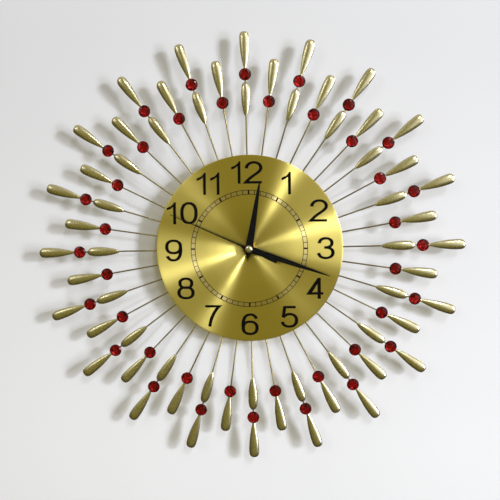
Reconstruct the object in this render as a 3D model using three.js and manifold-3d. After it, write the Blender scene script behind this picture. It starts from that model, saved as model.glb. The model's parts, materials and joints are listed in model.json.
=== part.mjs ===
// Sunburst wall clock. A spun gold dial sits in front of a steel hub plate, forty leaf-and-stone
// rays are welded to that plate, and a quartz movement behind it turns three black hands.
//
// The clock is built in its own frame, seen from the front: x to the right, y up to twelve, and z
// out of the wall. The wall is z = 0, and the hands turn about x = y = 0. The last group turns
// that frame so that z of the export points up and the clock faces along minus y.

import * as THREE from 'three';
import { mergeVertices } from 'three/addons/utils/BufferGeometryUtils.js';
import Module from 'manifold-3d';

const wasm = await Module();
wasm.setup();

// Driving dimensions, in millimetres and degrees.

const OVERALL = 600; // tip to tip across the long rays
const DIAL = 262; // dial diameter
const GAP = 0.3; // clearance between two pieces that touch or clamp

const RAY_PAIRS = 20; // long rays, with as many short rays between them
const RAY_TURN = 0.8; // the ray frame sits this far anticlockwise of the dial's twelve
const RAY_SIDES = 6; // faces round a ray's section
const WIRE = 2; // wire diameter
const WIRE_START = 50; // where a wire begins, from the axis
const STONE = 17.2; // stone diameter
const STONE_THICKNESS = 8;
const LEAF_LENGTH = 50; // outer leaf, from the stone to the tip
const LEAF_WIDTH = 14.3;
const LEAF_THICKNESS = 7;
const LEAF_NECK = 3; // outer leaf's width where it meets the stone
const INNER_LEAF_LENGTH = 46;
const INNER_LEAF_WIDTH = 13.2;
const NECK = 2; // bare wire between inner leaf and stone
const SHORTER_BY = 35.5; // short rays end this far inside the long ones

const CASE = 56; // movement case, square
const CASE_DEPTH = 16.5;
const CASE_WALL = 1.5;
const CASE_FRONT_WALL = 1.2;
const COVER_THICKNESS = 1.5;
const BAY_WALL = 1; // walls round the battery
const TAB_WIDTH = 24; // hanger tab
const TAB_TOP = 43;
const TAB_THICKNESS = 2;
const TAB_CORNER = 6; // cut off each of the tab's top corners
const SLOT_WIDTH = 12; // nail slot in the tab
const SLOT_BOTTOM = 30.5;
const SLOT_TOP = 39;
const SLOT_CORNER = 2;
const CELL_DIAMETER = 14.5; // AA cell
const CELL_LENGTH = 49.5; // its body, without the nub
const CELL_NUB = 1;
const CELL_NUB_DIAMETER = 5.2;

const HUB_PLATE = 170;
const HUB_PLATE_THICKNESS = 1.2;
const HUB_BOSS = 26; // raised seat for the dial, in the middle of the hub plate
const DIAL_THICKNESS = 1.4;
const DIAL_BEVEL = 0.5;
const BUSH = 8; // threaded bush of the case
const BUSH_BORE = 5.7;
const NUT_FLATS = 11;
const NUT_THICKNESS = 2.3;

const HOUR_ANGLE = 9.5; // clockwise from twelve, at rest
const MINUTE_ANGLE = 109;
const SECOND_ANGLE = 294;
const HOUR_LENGTH = 94;
const MINUTE_LENGTH = 119;
const SECOND_LENGTH = 120;
const SECOND_TAIL = 43;
const HAND_STEP = 2.3; // from one hand to the next, over its boss
const CAP = 10; // domed cap over the hands
const CAP_HEIGHT = 2.9;
const HOUR_BOSS = 14;
const MINUTE_BOSS = 12.5;
const SECOND_SEAT = 0.6; // how far the seconds arbor reaches into its hand

// Distances from the wall, built up from the back.

const PLATE_BACK = CASE_DEPTH + GAP;
const PLATE_FRONT = PLATE_BACK + HUB_PLATE_THICKNESS;
const WIRE_DEPTH = PLATE_FRONT + GAP + WIRE / 2;
const DIAL_BACK = WIRE_DEPTH + WIRE / 2 + GAP;
const DIAL_FRONT = DIAL_BACK + DIAL_THICKNESS;
const NUT_BACK = DIAL_FRONT + GAP;
const BUSH_END = NUT_BACK + NUT_THICKNESS + 0.6;
const HOUR_BACK = BUSH_END + 0.9;
const MINUTE_BACK = HOUR_BACK + HAND_STEP + 0.1;
const SECOND_BACK = MINUTE_BACK + HAND_STEP;
const CAP_TOP = SECOND_BACK + CAP_HEIGHT;

// Gear train. Each gear has its teeth and its module; each arbor has its place in the movement.

const FAST = 0.3; // module of the running train
const THIRD_PAIR = 10.8 / 34; // module of third pinion and centre wheel, on the same centres
const SETTING = 0.35; // module of the setting train
const HOUR_PAIR = 0.336; // module of motion pinion and hour wheel, on the same centres

const ROTOR_PINION = { teeth: 8, module: FAST };
const INTERMEDIATE_WHEEL = { teeth: 40, module: FAST };
const INTERMEDIATE_PINION = { teeth: 8, module: FAST };
const SECONDS_WHEEL = { teeth: 48, module: FAST };
const SECONDS_PINION = { teeth: 8, module: FAST };
const THIRD_WHEEL = { teeth: 64, module: FAST };
const THIRD_PINION = { teeth: 8, module: THIRD_PAIR };
const CENTRE_WHEEL = { teeth: 60, module: THIRD_PAIR };
const CANNON_PINION = { teeth: 12, module: SETTING };
const MOTION_WHEEL = { teeth: 36, module: SETTING };
const MOTION_PINION = { teeth: 10, module: HOUR_PAIR };
const HOUR_WHEEL = { teeth: 40, module: HOUR_PAIR };
const KNOB_PINION = { teeth: 12, module: SETTING };

const pitchRadius = (gear) => (gear.teeth * gear.module) / 2;
const degrees = (value) => (value * Math.PI) / 180;

// The centre of an arbor whose gear meshes with a gear on another arbor, in a given direction.
function meshedCentre(from, fromGear, toGear, direction) {
  const distance = pitchRadius(fromGear) + pitchRadius(toGear);
  const x = from.x + distance * Math.cos(degrees(direction));
  const y = from.y + distance * Math.sin(degrees(direction));
  return { x, y };
}

const AXIS = { x: 0, y: 0 };
const THIRD_DIRECTION = 0;
const INTERMEDIATE_DIRECTION = 120;
const ROTOR_DIRECTION = 150;
const MOTION_DIRECTION = 180;
const THIRD_AXIS = meshedCentre(AXIS, SECONDS_PINION, THIRD_WHEEL, THIRD_DIRECTION);
const INTERMEDIATE_AXIS = meshedCentre(
  AXIS, SECONDS_WHEEL, INTERMEDIATE_PINION, INTERMEDIATE_DIRECTION,
);
const ROTOR_AXIS = meshedCentre(
  INTERMEDIATE_AXIS, INTERMEDIATE_WHEEL, ROTOR_PINION, ROTOR_DIRECTION,
);
const MOTION_AXIS = meshedCentre(AXIS, CANNON_PINION, MOTION_WHEEL, MOTION_DIRECTION);
const KNOB_AXIS = meshedCentre(MOTION_AXIS, MOTION_WHEEL, KNOB_PINION, MOTION_DIRECTION);

// The angle of one tooth of a gear that meshes with a gear whose tooth is at fromPhase.
function meshedPhase(fromGear, fromPhase, toGear, direction) {
  const theta = degrees(direction);
  const fromPitch = (2 * Math.PI) / fromGear.teeth;
  const toPitch = (2 * Math.PI) / toGear.teeth;
  const turns = (theta - fromPhase) / fromPitch;
  const part = turns - Math.floor(turns);
  return theta + Math.PI + toPitch * (part - 0.5);
}

// Materials.

const paint = (color, roughness, metalness) =>
  new THREE.MeshStandardMaterial({ color, roughness, metalness });
const rayGold = () => paint(0xd9c66a, 0.32, 0.9);
const dialGold = () => paint(0xa8963a, 0.3, 1.0);
const handBlack = () => paint(0x101010, 0.35, 0.3);
const brass = () => paint(0xc8a24a, 0.3, 1.0);
const steel = () => paint(0x9a9a96, 0.4, 1.0);
const casePlastic = () => paint(0x1b1b1d, 0.55, 0.0);
const gearPlastic = () => paint(0xe9e4d6, 0.5, 0.0);
const boardGreen = () => paint(0x2c5a38, 0.5, 0.1);
const cellWrap = () => paint(0x3c4654, 0.4, 0.4);

// Solids. Every shape is a closed mesh; joins and cuts go through one boolean library.

function solid(geometry) {
  const bare = geometry.index ? geometry.clone() : geometry;
  bare.deleteAttribute('normal');
  bare.deleteAttribute('uv');
  const merged = mergeVertices(bare, 1e-5);
  const mesh = new wasm.Mesh({
    numProp: 3,
    vertProperties: new Float32Array(merged.attributes.position.array),
    triVerts: new Uint32Array(merged.index.array),
  });
  return new wasm.Manifold(mesh);
}

function join(...solids) {
  return solids.reduce((whole, next) => whole.add(next));
}

function geometryOf(shape) {
  const { vertProperties, triVerts } = shape.getMesh();
  const geometry = new THREE.BufferGeometry();
  geometry.setAttribute('position', new THREE.BufferAttribute(vertProperties, 3));
  geometry.setIndex(new THREE.BufferAttribute(triVerts, 1));
  const flat = geometry.toNonIndexed();
  flat.computeVertexNormals();
  return flat;
}

function piece(name, shape, material) {
  const mesh = new THREE.Mesh(geometryOf(shape), material);
  mesh.name = name;
  return mesh;
}

// An outline extruded from one distance from the wall to another.
function slab(outline, back, front, at = AXIS) {
  const geometry = new THREE.ExtrudeGeometry(outline, { depth: front - back, bevelEnabled: false });
  geometry.translate(at.x, at.y, back);
  return solid(geometry);
}

function polygon(radius, sides, phase = 0) {
  const points = [];
  for (let i = 0; i < sides; i += 1) {
    const angle = phase + (2 * Math.PI * i) / sides;
    points.push(new THREE.Vector2(radius * Math.cos(angle), radius * Math.sin(angle)));
  }
  return points;
}

function rod(diameter, back, front, at = AXIS, sides = 16) {
  return slab(new THREE.Shape(polygon(diameter / 2, sides)), back, front, at);
}

function block(left, right, bottom, top, back, front) {
  const geometry = new THREE.BoxGeometry(right - left, top - bottom, front - back);
  geometry.translate((left + right) / 2, (bottom + top) / 2, (back + front) / 2);
  return solid(geometry);
}

// A ring turned from a closed profile of [radius, distance from the wall].
function turned(profile, segments) {
  const points = profile.map(([radius, depth]) => new THREE.Vector2(radius, depth));
  points.push(points[0].clone());
  const geometry = new THREE.LatheGeometry(points, segments);
  geometry.rotateX(Math.PI / 2);
  return solid(geometry);
}

// Teeth. A wheel has three points to a tooth and a pinion has four, because a pinion's roots are
// flat. They are cut thin and short enough to run free of each other.

const TIP = 0.72; // tooth height above the pitch circle, in modules
const WHEEL_ROOT = 1.55; // depth below the pitch circle, in modules
const PINION_ROOT = 1.1;
const TIP_WIDTH = 0.16; // share of the pitch
const PINION_ROOT_WIDTH = 0.5;

function wheelOutline(gear, phase) {
  const pitch = (2 * Math.PI) / gear.teeth;
  const tip = pitchRadius(gear) + TIP * gear.module;
  const root = pitchRadius(gear) - WHEEL_ROOT * gear.module;
  const points = [];
  for (let i = 0; i < gear.teeth; i += 1) {
    const angle = phase + i * pitch;
    const corners = [[tip, -TIP_WIDTH / 2], [tip, TIP_WIDTH / 2], [root, 0.5]];
    for (const [radius, share] of corners) {
      const turn = angle + share * pitch;
      points.push(new THREE.Vector2(radius * Math.cos(turn), radius * Math.sin(turn)));
    }
  }
  return new THREE.Shape(points);
}

function pinionOutline(gear, phase) {
  const pitch = (2 * Math.PI) / gear.teeth;
  const tip = pitchRadius(gear) + TIP * gear.module;
  const root = pitchRadius(gear) - PINION_ROOT * gear.module;
  const points = [];
  for (let i = 0; i < gear.teeth; i += 1) {
    const angle = phase + i * pitch;
    const corners = [
      [root, -PINION_ROOT_WIDTH / 2], [tip, -TIP_WIDTH / 2],
      [tip, TIP_WIDTH / 2], [root, PINION_ROOT_WIDTH / 2],
    ];
    for (const [radius, share] of corners) {
      const turn = angle + share * pitch;
      points.push(new THREE.Vector2(radius * Math.cos(turn), radius * Math.sin(turn)));
    }
  }
  return new THREE.Shape(points);
}

// Rays. A ray is one loft of elliptical sections from its wire's inner end to its leaf's tip.

// A leaf's outline: where it is widest from its narrow end, how full its tapered side is, how
// blunt its round end is, and its sections.
const OUTER_LEAF = { widest: 0.79, taper: 0.88, blunt: 2.8, stations: [0, 0.35, 0.79, 0.94, 0.985] };
const INNER_LEAF = { widest: 0.66, taper: 0.62, blunt: 2.5, stations: [0, 0.25, 0.66, 0.9, 0.98] };

// A leaf's half width as a share of its greatest, at a share t of its length.
function leafShare(t, neck, { widest, taper, blunt }) {
  if (t > widest) {
    return (1 - ((t - widest) / (1 - widest)) ** blunt) ** (1 / blunt);
  }
  return neck + (1 - neck) * Math.sin((Math.PI / 2) * (t / widest)) ** taper;
}

function leafSections(start, length, width, neckWidth, outline) {
  return outline.stations.map((t) => {
    const share = leafShare(t, neckWidth / width, outline);
    const halfThickness = Math.max(WIRE / 2, (share * LEAF_THICKNESS) / 2);
    return [start + t * length, (share * width) / 2, halfThickness];
  });
}

function stoneSections(centre) {
  const radius = STONE / 2;
  const side = radius * Math.SQRT1_2;
  return [
    [centre - radius, WIRE / 2, WIRE / 2],
    [centre - side, side, STONE_THICKNESS * 0.36],
    [centre, radius, STONE_THICKNESS / 2],
    [centre + side, side, STONE_THICKNESS * 0.36],
  ];
}

function loft(sections, tip) {
  const positions = [];
  for (const [along, halfWidth, halfThickness] of sections) {
    for (let side = 0; side < RAY_SIDES; side += 1) {
      const angle = (2 * Math.PI * side) / RAY_SIDES;
      positions.push(halfWidth * Math.cos(angle), along, halfThickness * Math.sin(angle));
    }
  }
  positions.push(0, tip, 0);
  const last = sections.length * RAY_SIDES;
  const indices = [];
  for (let side = 1; side < RAY_SIDES - 1; side += 1) {
    indices.push(0, side, side + 1);
  }
  for (let row = 0; row < sections.length; row += 1) {
    for (let side = 0; side < RAY_SIDES; side += 1) {
      const next = (side + 1) % RAY_SIDES;
      const a = row * RAY_SIDES + side;
      const b = row * RAY_SIDES + next;
      if (row === sections.length - 1) {
        indices.push(a, last, b);
      } else {
        indices.push(a, a + RAY_SIDES, b, b, a + RAY_SIDES, b + RAY_SIDES);
      }
    }
  }
  const geometry = new THREE.BufferGeometry();
  geometry.setAttribute('position', new THREE.Float32BufferAttribute(positions, 3));
  geometry.setIndex(indices);
  return solid(geometry);
}

function raySolid(tip, hasInnerLeaf) {
  const leafStart = tip - LEAF_LENGTH;
  const stoneCentre = leafStart - STONE / 2;
  const innerEnd = stoneCentre - STONE / 2 - NECK;
  const sections = [[WIRE_START, WIRE / 2, WIRE / 2]];
  if (hasInnerLeaf) {
    const innerStart = innerEnd - INNER_LEAF_LENGTH;
    sections.push(
      ...leafSections(innerStart, INNER_LEAF_LENGTH, INNER_LEAF_WIDTH, WIRE, INNER_LEAF),
    );
    sections.push([innerEnd, WIRE / 2, WIRE / 2]);
  }
  sections.push(...stoneSections(stoneCentre));
  sections.push(...leafSections(leafStart, LEAF_LENGTH, LEAF_WIDTH, LEAF_NECK, OUTER_LEAF));
  return loft(sections, tip);
}

function addRays(clock) {
  const step = 360 / RAY_PAIRS;
  const kinds = [
    { name: 'ray_long', tip: OVERALL / 2, inner: true, offset: 0 },
    { name: 'ray_short', tip: OVERALL / 2 - SHORTER_BY, inner: false, offset: step / 2 },
  ];
  for (const kind of kinds) {
    const shape = raySolid(kind.tip, kind.inner);
    for (let i = 0; i < RAY_PAIRS; i += 1) {
      const ray = piece(`${kind.name}_${String(i + 1).padStart(2, '0')}`, shape, rayGold());
      ray.position.z = WIRE_DEPTH;
      ray.rotation.z = degrees(RAY_TURN - kind.offset - i * step);
      clock.add(ray);
    }
  }
}

// Dial, hub plate and nut.

function dial() {
  const rim = DIAL / 2;
  const hole = BUSH / 2 + GAP;
  return turned(
    [
      [hole, DIAL_BACK], [rim, DIAL_BACK], [rim, DIAL_FRONT - DIAL_BEVEL],
      [rim - DIAL_BEVEL, DIAL_FRONT], [hole, DIAL_FRONT],
    ],
    48,
  );
}

function hubPlate() {
  const hole = BUSH / 2 + GAP;
  const bossTop = DIAL_BACK - GAP;
  return turned(
    [
      [hole, PLATE_BACK], [HUB_PLATE / 2, PLATE_BACK], [HUB_PLATE / 2, PLATE_FRONT],
      [HUB_BOSS / 2 + 2, PLATE_FRONT], [HUB_BOSS / 2, bossTop], [hole, bossTop],
    ],
    36,
  );
}

function bushNut() {
  const outline = new THREE.Shape(polygon(NUT_FLATS / Math.sqrt(3), 6));
  outline.holes.push(new THREE.Path(polygon(BUSH / 2 + GAP, 16)));
  return slab(outline, NUT_BACK, NUT_BACK + NUT_THICKNESS);
}

// Depths of the circuit board and the stator, which the case's posts and the rotor fit.

const BOARD = { left: -24, right: 24, bottom: 13, top: 26 };
const BOARD_BACK = 8.5;
const BOARD_FRONT = 9.5;
const STATOR_BACK = 4.6;
const STATOR_FRONT = 5.4;
const COIL_Y = 21;
const COIL_DEPTH = (STATOR_BACK + STATOR_FRONT) / 2;
const COIL_LEFT = -20.3;
const COIL_RIGHT = -1.2;
const COIL_DIAMETER = 6;
const FLANGE = 1;
const FLANGE_HALF = 3.3;
const CORE_HALF = 1.3; // half width of the stator's leg through the coil
const ROTOR_HOLE = 7;
const ROTOR_RING = 1.4; // iron left round the rotor's hole
const STATOR_MARGIN = 3.7; // how far the stator reaches past the coil's ends
const STATOR_LEG = 3.2; // width of its upright legs
const STATOR_CORNER = 4.8; // cut off its corner beside the intermediate wheel
const COIL_SINK = 0.2; // how far the coil, the chip and the crystal sink into the board

// Movement case and cover.

const HALF = CASE / 2;
const INSIDE = HALF - CASE_WALL; // inner half width
const FRONT_WALL_BACK = CASE_DEPTH - CASE_FRONT_WALL;
const BAY_BOTTOM = -HALF + BAY_WALL;
const BAY_TOP = BAY_BOTTOM + CELL_DIAMETER + 2 * GAP;
const GEAR_ROOM_BOTTOM = BAY_TOP + BAY_WALL;
const CELL_Y = (BAY_BOTTOM + BAY_TOP) / 2;
const COVER_BOTTOM = BAY_TOP + BAY_WALL / 2 + GAP;
const CASE_BACK = COVER_THICKNESS + GAP;
const PIT_DEPTH = 0.8; // blind bearing holes in the cover and the front wall
const PIT_PLAY = 0.6; // how much wider a bearing hole is than its arbor
const ARBOR_BACK = COVER_THICKNESS - PIT_DEPTH + GAP;
const ARBOR_FRONT = FRONT_WALL_BACK + 0.3;
const THIN_ARBOR = 0.8;
const ARBOR = 1;
const STUD = 1.6; // the motion wheel's stud in the case
const STUD_BACK = 9;
const PIN = 1; // the intermediate wheel's pin in the cover
const PIN_FRONT = 4.4;
const KNOB_SHAFT = 2.4;
const KNOB = 10;
const KNOB_RIM = 1; // how far the knob's flange stands out behind the cover
const POSTS = [{ x: 20, y: 22 }, { x: -22, y: 16 }]; // they hold the circuit board down
const POST = 3;
const OVERRUN = 1; // how far a cut runs past the face that it opens
const SINK = 0.5; // how far a joined part is sunk into the wall that carries it

function pit(arbor, back, front, at, sides = 8) {
  return rod(arbor + PIT_PLAY, back, front, at, sides);
}

function movementCase() {
  const out = HALF + OVERRUN;
  const body = block(-HALF, HALF, -HALF, HALF, 0, CASE_DEPTH);
  const gearRoom = block(-INSIDE, INSIDE, GEAR_ROOM_BOTTOM, INSIDE, -OVERRUN, FRONT_WALL_BACK);
  const bay = block(-INSIDE, INSIDE, BAY_BOTTOM, BAY_TOP, -OVERRUN, FRONT_WALL_BACK);
  const coverSeat = block(-out, out, COVER_BOTTOM - GAP, out, -OVERRUN, CASE_BACK);
  const shell = body.subtract(gearRoom).subtract(bay).subtract(coverSeat);
  const bush = rod(BUSH, CASE_DEPTH - SINK, BUSH_END, AXIS, 24);
  const stud = rod(STUD, STUD_BACK, CASE_DEPTH - SINK, MOTION_AXIS, 12);
  const posts = POSTS.map((post) => rod(POST, BOARD_FRONT + GAP, CASE_DEPTH - SINK, post, 8));
  const bore = rod(BUSH_BORE, FRONT_WALL_BACK - OVERRUN, BUSH_END + OVERRUN, AXIS, 24);
  const pitBack = FRONT_WALL_BACK - OVERRUN;
  const pitFront = FRONT_WALL_BACK + PIT_DEPTH;
  const pits = [
    pit(THIN_ARBOR, pitBack, pitFront, ROTOR_AXIS),
    pit(ARBOR, pitBack, pitFront, THIRD_AXIS),
    pit(KNOB_SHAFT, pitBack, pitFront, KNOB_AXIS, 12),
  ];
  const whole = join(shell, bush, stud, ...posts);
  return pits.reduce((shape, cut) => shape.subtract(cut), whole.subtract(bore));
}

// The hanger tab above the cover, with its corners cut off, and the nail slot in it.
function hangerTab() {
  const half = TAB_WIDTH / 2;
  const shoulder = TAB_TOP - TAB_CORNER;
  const outline = new THREE.Shape([
    new THREE.Vector2(-half, HALF + GAP), new THREE.Vector2(half, HALF + GAP),
    new THREE.Vector2(half, shoulder), new THREE.Vector2(half - TAB_CORNER, TAB_TOP),
    new THREE.Vector2(-half + TAB_CORNER, TAB_TOP), new THREE.Vector2(-half, shoulder),
  ]);
  const side = SLOT_WIDTH / 2;
  const slotShoulder = SLOT_TOP - SLOT_CORNER;
  outline.holes.push(new THREE.Path([
    new THREE.Vector2(-side, SLOT_BOTTOM), new THREE.Vector2(side, SLOT_BOTTOM),
    new THREE.Vector2(side, slotShoulder), new THREE.Vector2(side - SLOT_CORNER, SLOT_TOP),
    new THREE.Vector2(-side + SLOT_CORNER, SLOT_TOP), new THREE.Vector2(-side, slotShoulder),
  ]));
  return slab(outline, 0, TAB_THICKNESS);
}

function movementCover() {
  const plate = block(-HALF, HALF, COVER_BOTTOM, HALF + SINK, 0, COVER_THICKNESS);
  const pin = rod(PIN, COVER_THICKNESS - SINK, PIN_FRONT, INTERMEDIATE_AXIS, 8);
  const pitBack = COVER_THICKNESS - PIT_DEPTH;
  const pitFront = COVER_THICKNESS + OVERRUN;
  const cuts = [
    rod(KNOB + 2 * GAP, -OVERRUN, pitFront, KNOB_AXIS, 24),
    pit(ARBOR, pitBack, pitFront, AXIS),
    pit(ARBOR, pitBack, pitFront, THIRD_AXIS),
    pit(THIN_ARBOR, pitBack, pitFront, ROTOR_AXIS),
  ];
  return cuts.reduce((shape, cut) => shape.subtract(cut), join(plate, hangerTab(), pin));
}

function battery() {
  const radius = CELL_DIAMETER / 2;
  const geometry = new THREE.CylinderGeometry(radius, radius, CELL_LENGTH, 20);
  geometry.rotateZ(-Math.PI / 2);
  const nubRadius = CELL_NUB_DIAMETER / 2;
  const nub = new THREE.CylinderGeometry(nubRadius, nubRadius, CELL_NUB + OVERRUN, 10);
  nub.rotateZ(-Math.PI / 2);
  nub.translate(CELL_LENGTH / 2 + (CELL_NUB - OVERRUN) / 2, 0, 0);
  const depth = FRONT_WALL_BACK - GAP - radius;
  return join(solid(geometry), solid(nub)).translate([-CELL_NUB / 2, CELL_Y, depth]);
}

// Circuit board with its chip, its crystal and the coil, and the stator through the coil.

const CHIP = { left: 8, right: 14, bottom: 17, top: 23, height: 1.2 };
const CRYSTAL = { left: 16, right: 22, bottom: 15, top: 17, height: 2 };

function onBoard(part) {
  const back = BOARD_BACK - part.height;
  return block(part.left, part.right, part.bottom, part.top, back, BOARD_BACK + COIL_SINK);
}

function circuitBoard() {
  const board = block(BOARD.left, BOARD.right, BOARD.bottom, BOARD.top, BOARD_BACK, BOARD_FRONT);
  const winding = new THREE.CylinderGeometry(
    COIL_DIAMETER / 2, COIL_DIAMETER / 2, COIL_RIGHT - COIL_LEFT - FLANGE, 12,
  );
  winding.rotateZ(Math.PI / 2);
  winding.translate((COIL_LEFT + COIL_RIGHT) / 2, COIL_Y, COIL_DEPTH);
  const low = COIL_Y - FLANGE_HALF;
  const high = COIL_Y + FLANGE_HALF;
  const back = COIL_DEPTH - FLANGE_HALF + COIL_SINK;
  const flanges = [COIL_LEFT, COIL_RIGHT - FLANGE].map((left) =>
    block(left, left + FLANGE, low, high, back, BOARD_BACK + COIL_SINK));
  const core = block(
    COIL_LEFT - OVERRUN, COIL_RIGHT + OVERRUN,
    COIL_Y - CORE_HALF - GAP, COIL_Y + CORE_HALF + GAP,
    STATOR_BACK - GAP, STATOR_FRONT + GAP,
  );
  return join(board, solid(winding), ...flanges, onBoard(CHIP), onBoard(CRYSTAL)).subtract(core);
}

function stator() {
  const left = COIL_LEFT - STATOR_MARGIN;
  const right = COIL_RIGHT + STATOR_MARGIN;
  const top = COIL_Y + CORE_HALF;
  const bottom = ROTOR_AXIS.y - ROTOR_HOLE / 2 - ROTOR_RING;
  const windowBottom = ROTOR_AXIS.y + ROTOR_HOLE / 2 + ROTOR_RING;
  const windowTop = COIL_Y - CORE_HALF;
  const outline = new THREE.Shape([
    new THREE.Vector2(left, bottom), new THREE.Vector2(right - STATOR_CORNER, bottom),
    new THREE.Vector2(right, bottom + STATOR_CORNER), new THREE.Vector2(right, top),
    new THREE.Vector2(left, top),
  ]);
  outline.holes.push(new THREE.Path([
    new THREE.Vector2(left + STATOR_LEG, windowBottom),
    new THREE.Vector2(right - STATOR_LEG, windowBottom),
    new THREE.Vector2(right - STATOR_LEG, windowTop),
    new THREE.Vector2(left + STATOR_LEG, windowTop),
  ]));
  const hole = rod(ROTOR_HOLE, STATOR_BACK - OVERRUN, STATOR_FRONT + OVERRUN, ROTOR_AXIS, 16);
  return slab(outline, STATOR_BACK, STATOR_FRONT).subtract(hole);
}

// Wheels and arbors. Phases are passed along each train so that every pair is in mesh at rest.

const CANNON = 3; // outer diameter of the minute hand's tube
const CANNON_BORE = 1.5;
const CANNON_START = 6.4;
const HOUR_TUBE = 5;
const HOUR_BORE = 3.5;
const HUB = 5; // diameter of the hubs on the centre wheel and the cannon pinion
const ROTOR_MAGNET = 6;
const TUBE_SIDES = 16;
const PLAY = 0.4; // how much wider a bore is than the pin or tube that it turns on
const HAND_SEAT = 1.2; // how far a hand's tube reaches into its hand

// Where each gear and hub begins and ends, from the wall.
const ROTOR_PINION_SPAN = [1.9, 2.9];
const MAGNET_SPAN = [4, 6.4];
const INTERMEDIATE_WHEEL_SPAN = [1.9, 2.6];
const INTERMEDIATE_PINION_SPAN = [2.5, 4.2];
const SECONDS_WHEEL_SPAN = [3, 3.8];
const SECONDS_PINION_SPAN = [3.7, 6.1];
const THIRD_WHEEL_SPAN = [4.8, 5.6];
const THIRD_PINION_SPAN = [5.5, 8.3];
const CENTRE_WHEEL_SPAN = [7, 7.8];
const CENTRE_HUB_SPAN = [7, 8.6];
const CANNON_FLANGE_SPAN = [CANNON_START, CANNON_START + 0.4];
const SETTING_PINION_SPAN = [9, 10.6];
const MOTION_WHEEL_SPAN = [9.4, 10.2];
const MOTION_PINION_SPAN = [10.1, 12.4];
const HOUR_WHEEL_SPAN = [11.3, 12.1];

function wheel(gear, phase, span, at) {
  return slab(wheelOutline(gear, phase), span[0], span[1], at);
}

function pinion(gear, phase, span, at) {
  return slab(pinionOutline(gear, phase), span[0], span[1], at);
}

// Cuts a bore right through a piece that fills a span.
function bored(blank, diameter, span, at = AXIS, sides = TUBE_SIDES) {
  return blank.subtract(rod(diameter, span[0] - OVERRUN, span[1] + OVERRUN, at, sides));
}

function rotor() {
  const phase = meshedPhase(INTERMEDIATE_WHEEL, 0, ROTOR_PINION, ROTOR_DIRECTION);
  return join(
    rod(THIN_ARBOR, ARBOR_BACK, ARBOR_FRONT, ROTOR_AXIS, 8),
    pinion(ROTOR_PINION, phase, ROTOR_PINION_SPAN, ROTOR_AXIS),
    rod(ROTOR_MAGNET, ...MAGNET_SPAN, ROTOR_AXIS, 16),
  );
}

function intermediateWheel() {
  const phase = meshedPhase(SECONDS_WHEEL, 0, INTERMEDIATE_PINION, INTERMEDIATE_DIRECTION);
  const blank = join(
    wheel(INTERMEDIATE_WHEEL, 0, INTERMEDIATE_WHEEL_SPAN, INTERMEDIATE_AXIS),
    pinion(INTERMEDIATE_PINION, phase, INTERMEDIATE_PINION_SPAN, INTERMEDIATE_AXIS),
  );
  const span = [INTERMEDIATE_WHEEL_SPAN[0], INTERMEDIATE_PINION_SPAN[1]];
  return bored(blank, PIN + PLAY, span, INTERMEDIATE_AXIS, 12);
}

function secondsWheel() {
  return join(
    rod(ARBOR, ARBOR_BACK, SECOND_BACK + SECOND_SEAT, AXIS, 8),
    wheel(SECONDS_WHEEL, 0, SECONDS_WHEEL_SPAN, AXIS),
    pinion(SECONDS_PINION, 0, SECONDS_PINION_SPAN, AXIS),
  );
}

function thirdWheel() {
  const phase = meshedPhase(SECONDS_PINION, 0, THIRD_WHEEL, THIRD_DIRECTION);
  return join(
    rod(ARBOR, ARBOR_BACK, ARBOR_FRONT, THIRD_AXIS, 8),
    wheel(THIRD_WHEEL, phase, THIRD_WHEEL_SPAN, THIRD_AXIS),
    pinion(THIRD_PINION, 0, THIRD_PINION_SPAN, THIRD_AXIS),
  );
}

function centreWheel() {
  const phase = meshedPhase(THIRD_PINION, 0, CENTRE_WHEEL, THIRD_DIRECTION + 180);
  const blank = join(
    wheel(CENTRE_WHEEL, phase, CENTRE_WHEEL_SPAN, AXIS),
    rod(HUB, ...CENTRE_HUB_SPAN, AXIS, TUBE_SIDES),
  );
  return bored(blank, CANNON + PLAY, CENTRE_HUB_SPAN);
}

function cannonPinion() {
  const front = MINUTE_BACK + HAND_SEAT;
  const blank = join(
    rod(HUB, ...CANNON_FLANGE_SPAN, AXIS, TUBE_SIDES),
    rod(CANNON, CANNON_START, front, AXIS, TUBE_SIDES),
    pinion(CANNON_PINION, 0, SETTING_PINION_SPAN, AXIS),
  );
  return bored(blank, CANNON_BORE, [CANNON_START, front], AXIS, 12);
}

const motionPhase = meshedPhase(CANNON_PINION, 0, MOTION_WHEEL, MOTION_DIRECTION);

function motionWheel() {
  const blank = join(
    wheel(MOTION_WHEEL, motionPhase, MOTION_WHEEL_SPAN, MOTION_AXIS),
    pinion(MOTION_PINION, 0, MOTION_PINION_SPAN, MOTION_AXIS),
  );
  const span = [MOTION_WHEEL_SPAN[0], MOTION_PINION_SPAN[1]];
  return bored(blank, STUD + PLAY, span, MOTION_AXIS, 12);
}

function hourWheel() {
  const phase = meshedPhase(MOTION_PINION, 0, HOUR_WHEEL, MOTION_DIRECTION + 180);
  const back = HOUR_WHEEL_SPAN[0];
  const front = HOUR_BACK + HAND_SEAT;
  const blank = join(
    wheel(HOUR_WHEEL, phase, HOUR_WHEEL_SPAN, AXIS),
    rod(HOUR_TUBE, back, front, AXIS, TUBE_SIDES),
  );
  return bored(blank, HOUR_BORE, [back, front]);
}

function settingKnob() {
  const phase = meshedPhase(MOTION_WHEEL, motionPhase, KNOB_PINION, MOTION_DIRECTION);
  const flangeBack = COVER_THICKNESS + GAP;
  const flangeFront = COVER_THICKNESS + 1;
  return join(
    rod(KNOB, GAP, flangeFront - SINK, KNOB_AXIS, 24),
    rod(KNOB + 2 * KNOB_RIM, flangeBack, flangeFront, KNOB_AXIS, 24),
    rod(KNOB_SHAFT, flangeFront - SINK, ARBOR_FRONT, KNOB_AXIS, 12),
    pinion(KNOB_PINION, phase, SETTING_PINION_SPAN, KNOB_AXIS),
  );
}

// Hands. Each is a flat blade along +y with a round boss, turned clockwise to its rest place.

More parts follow.
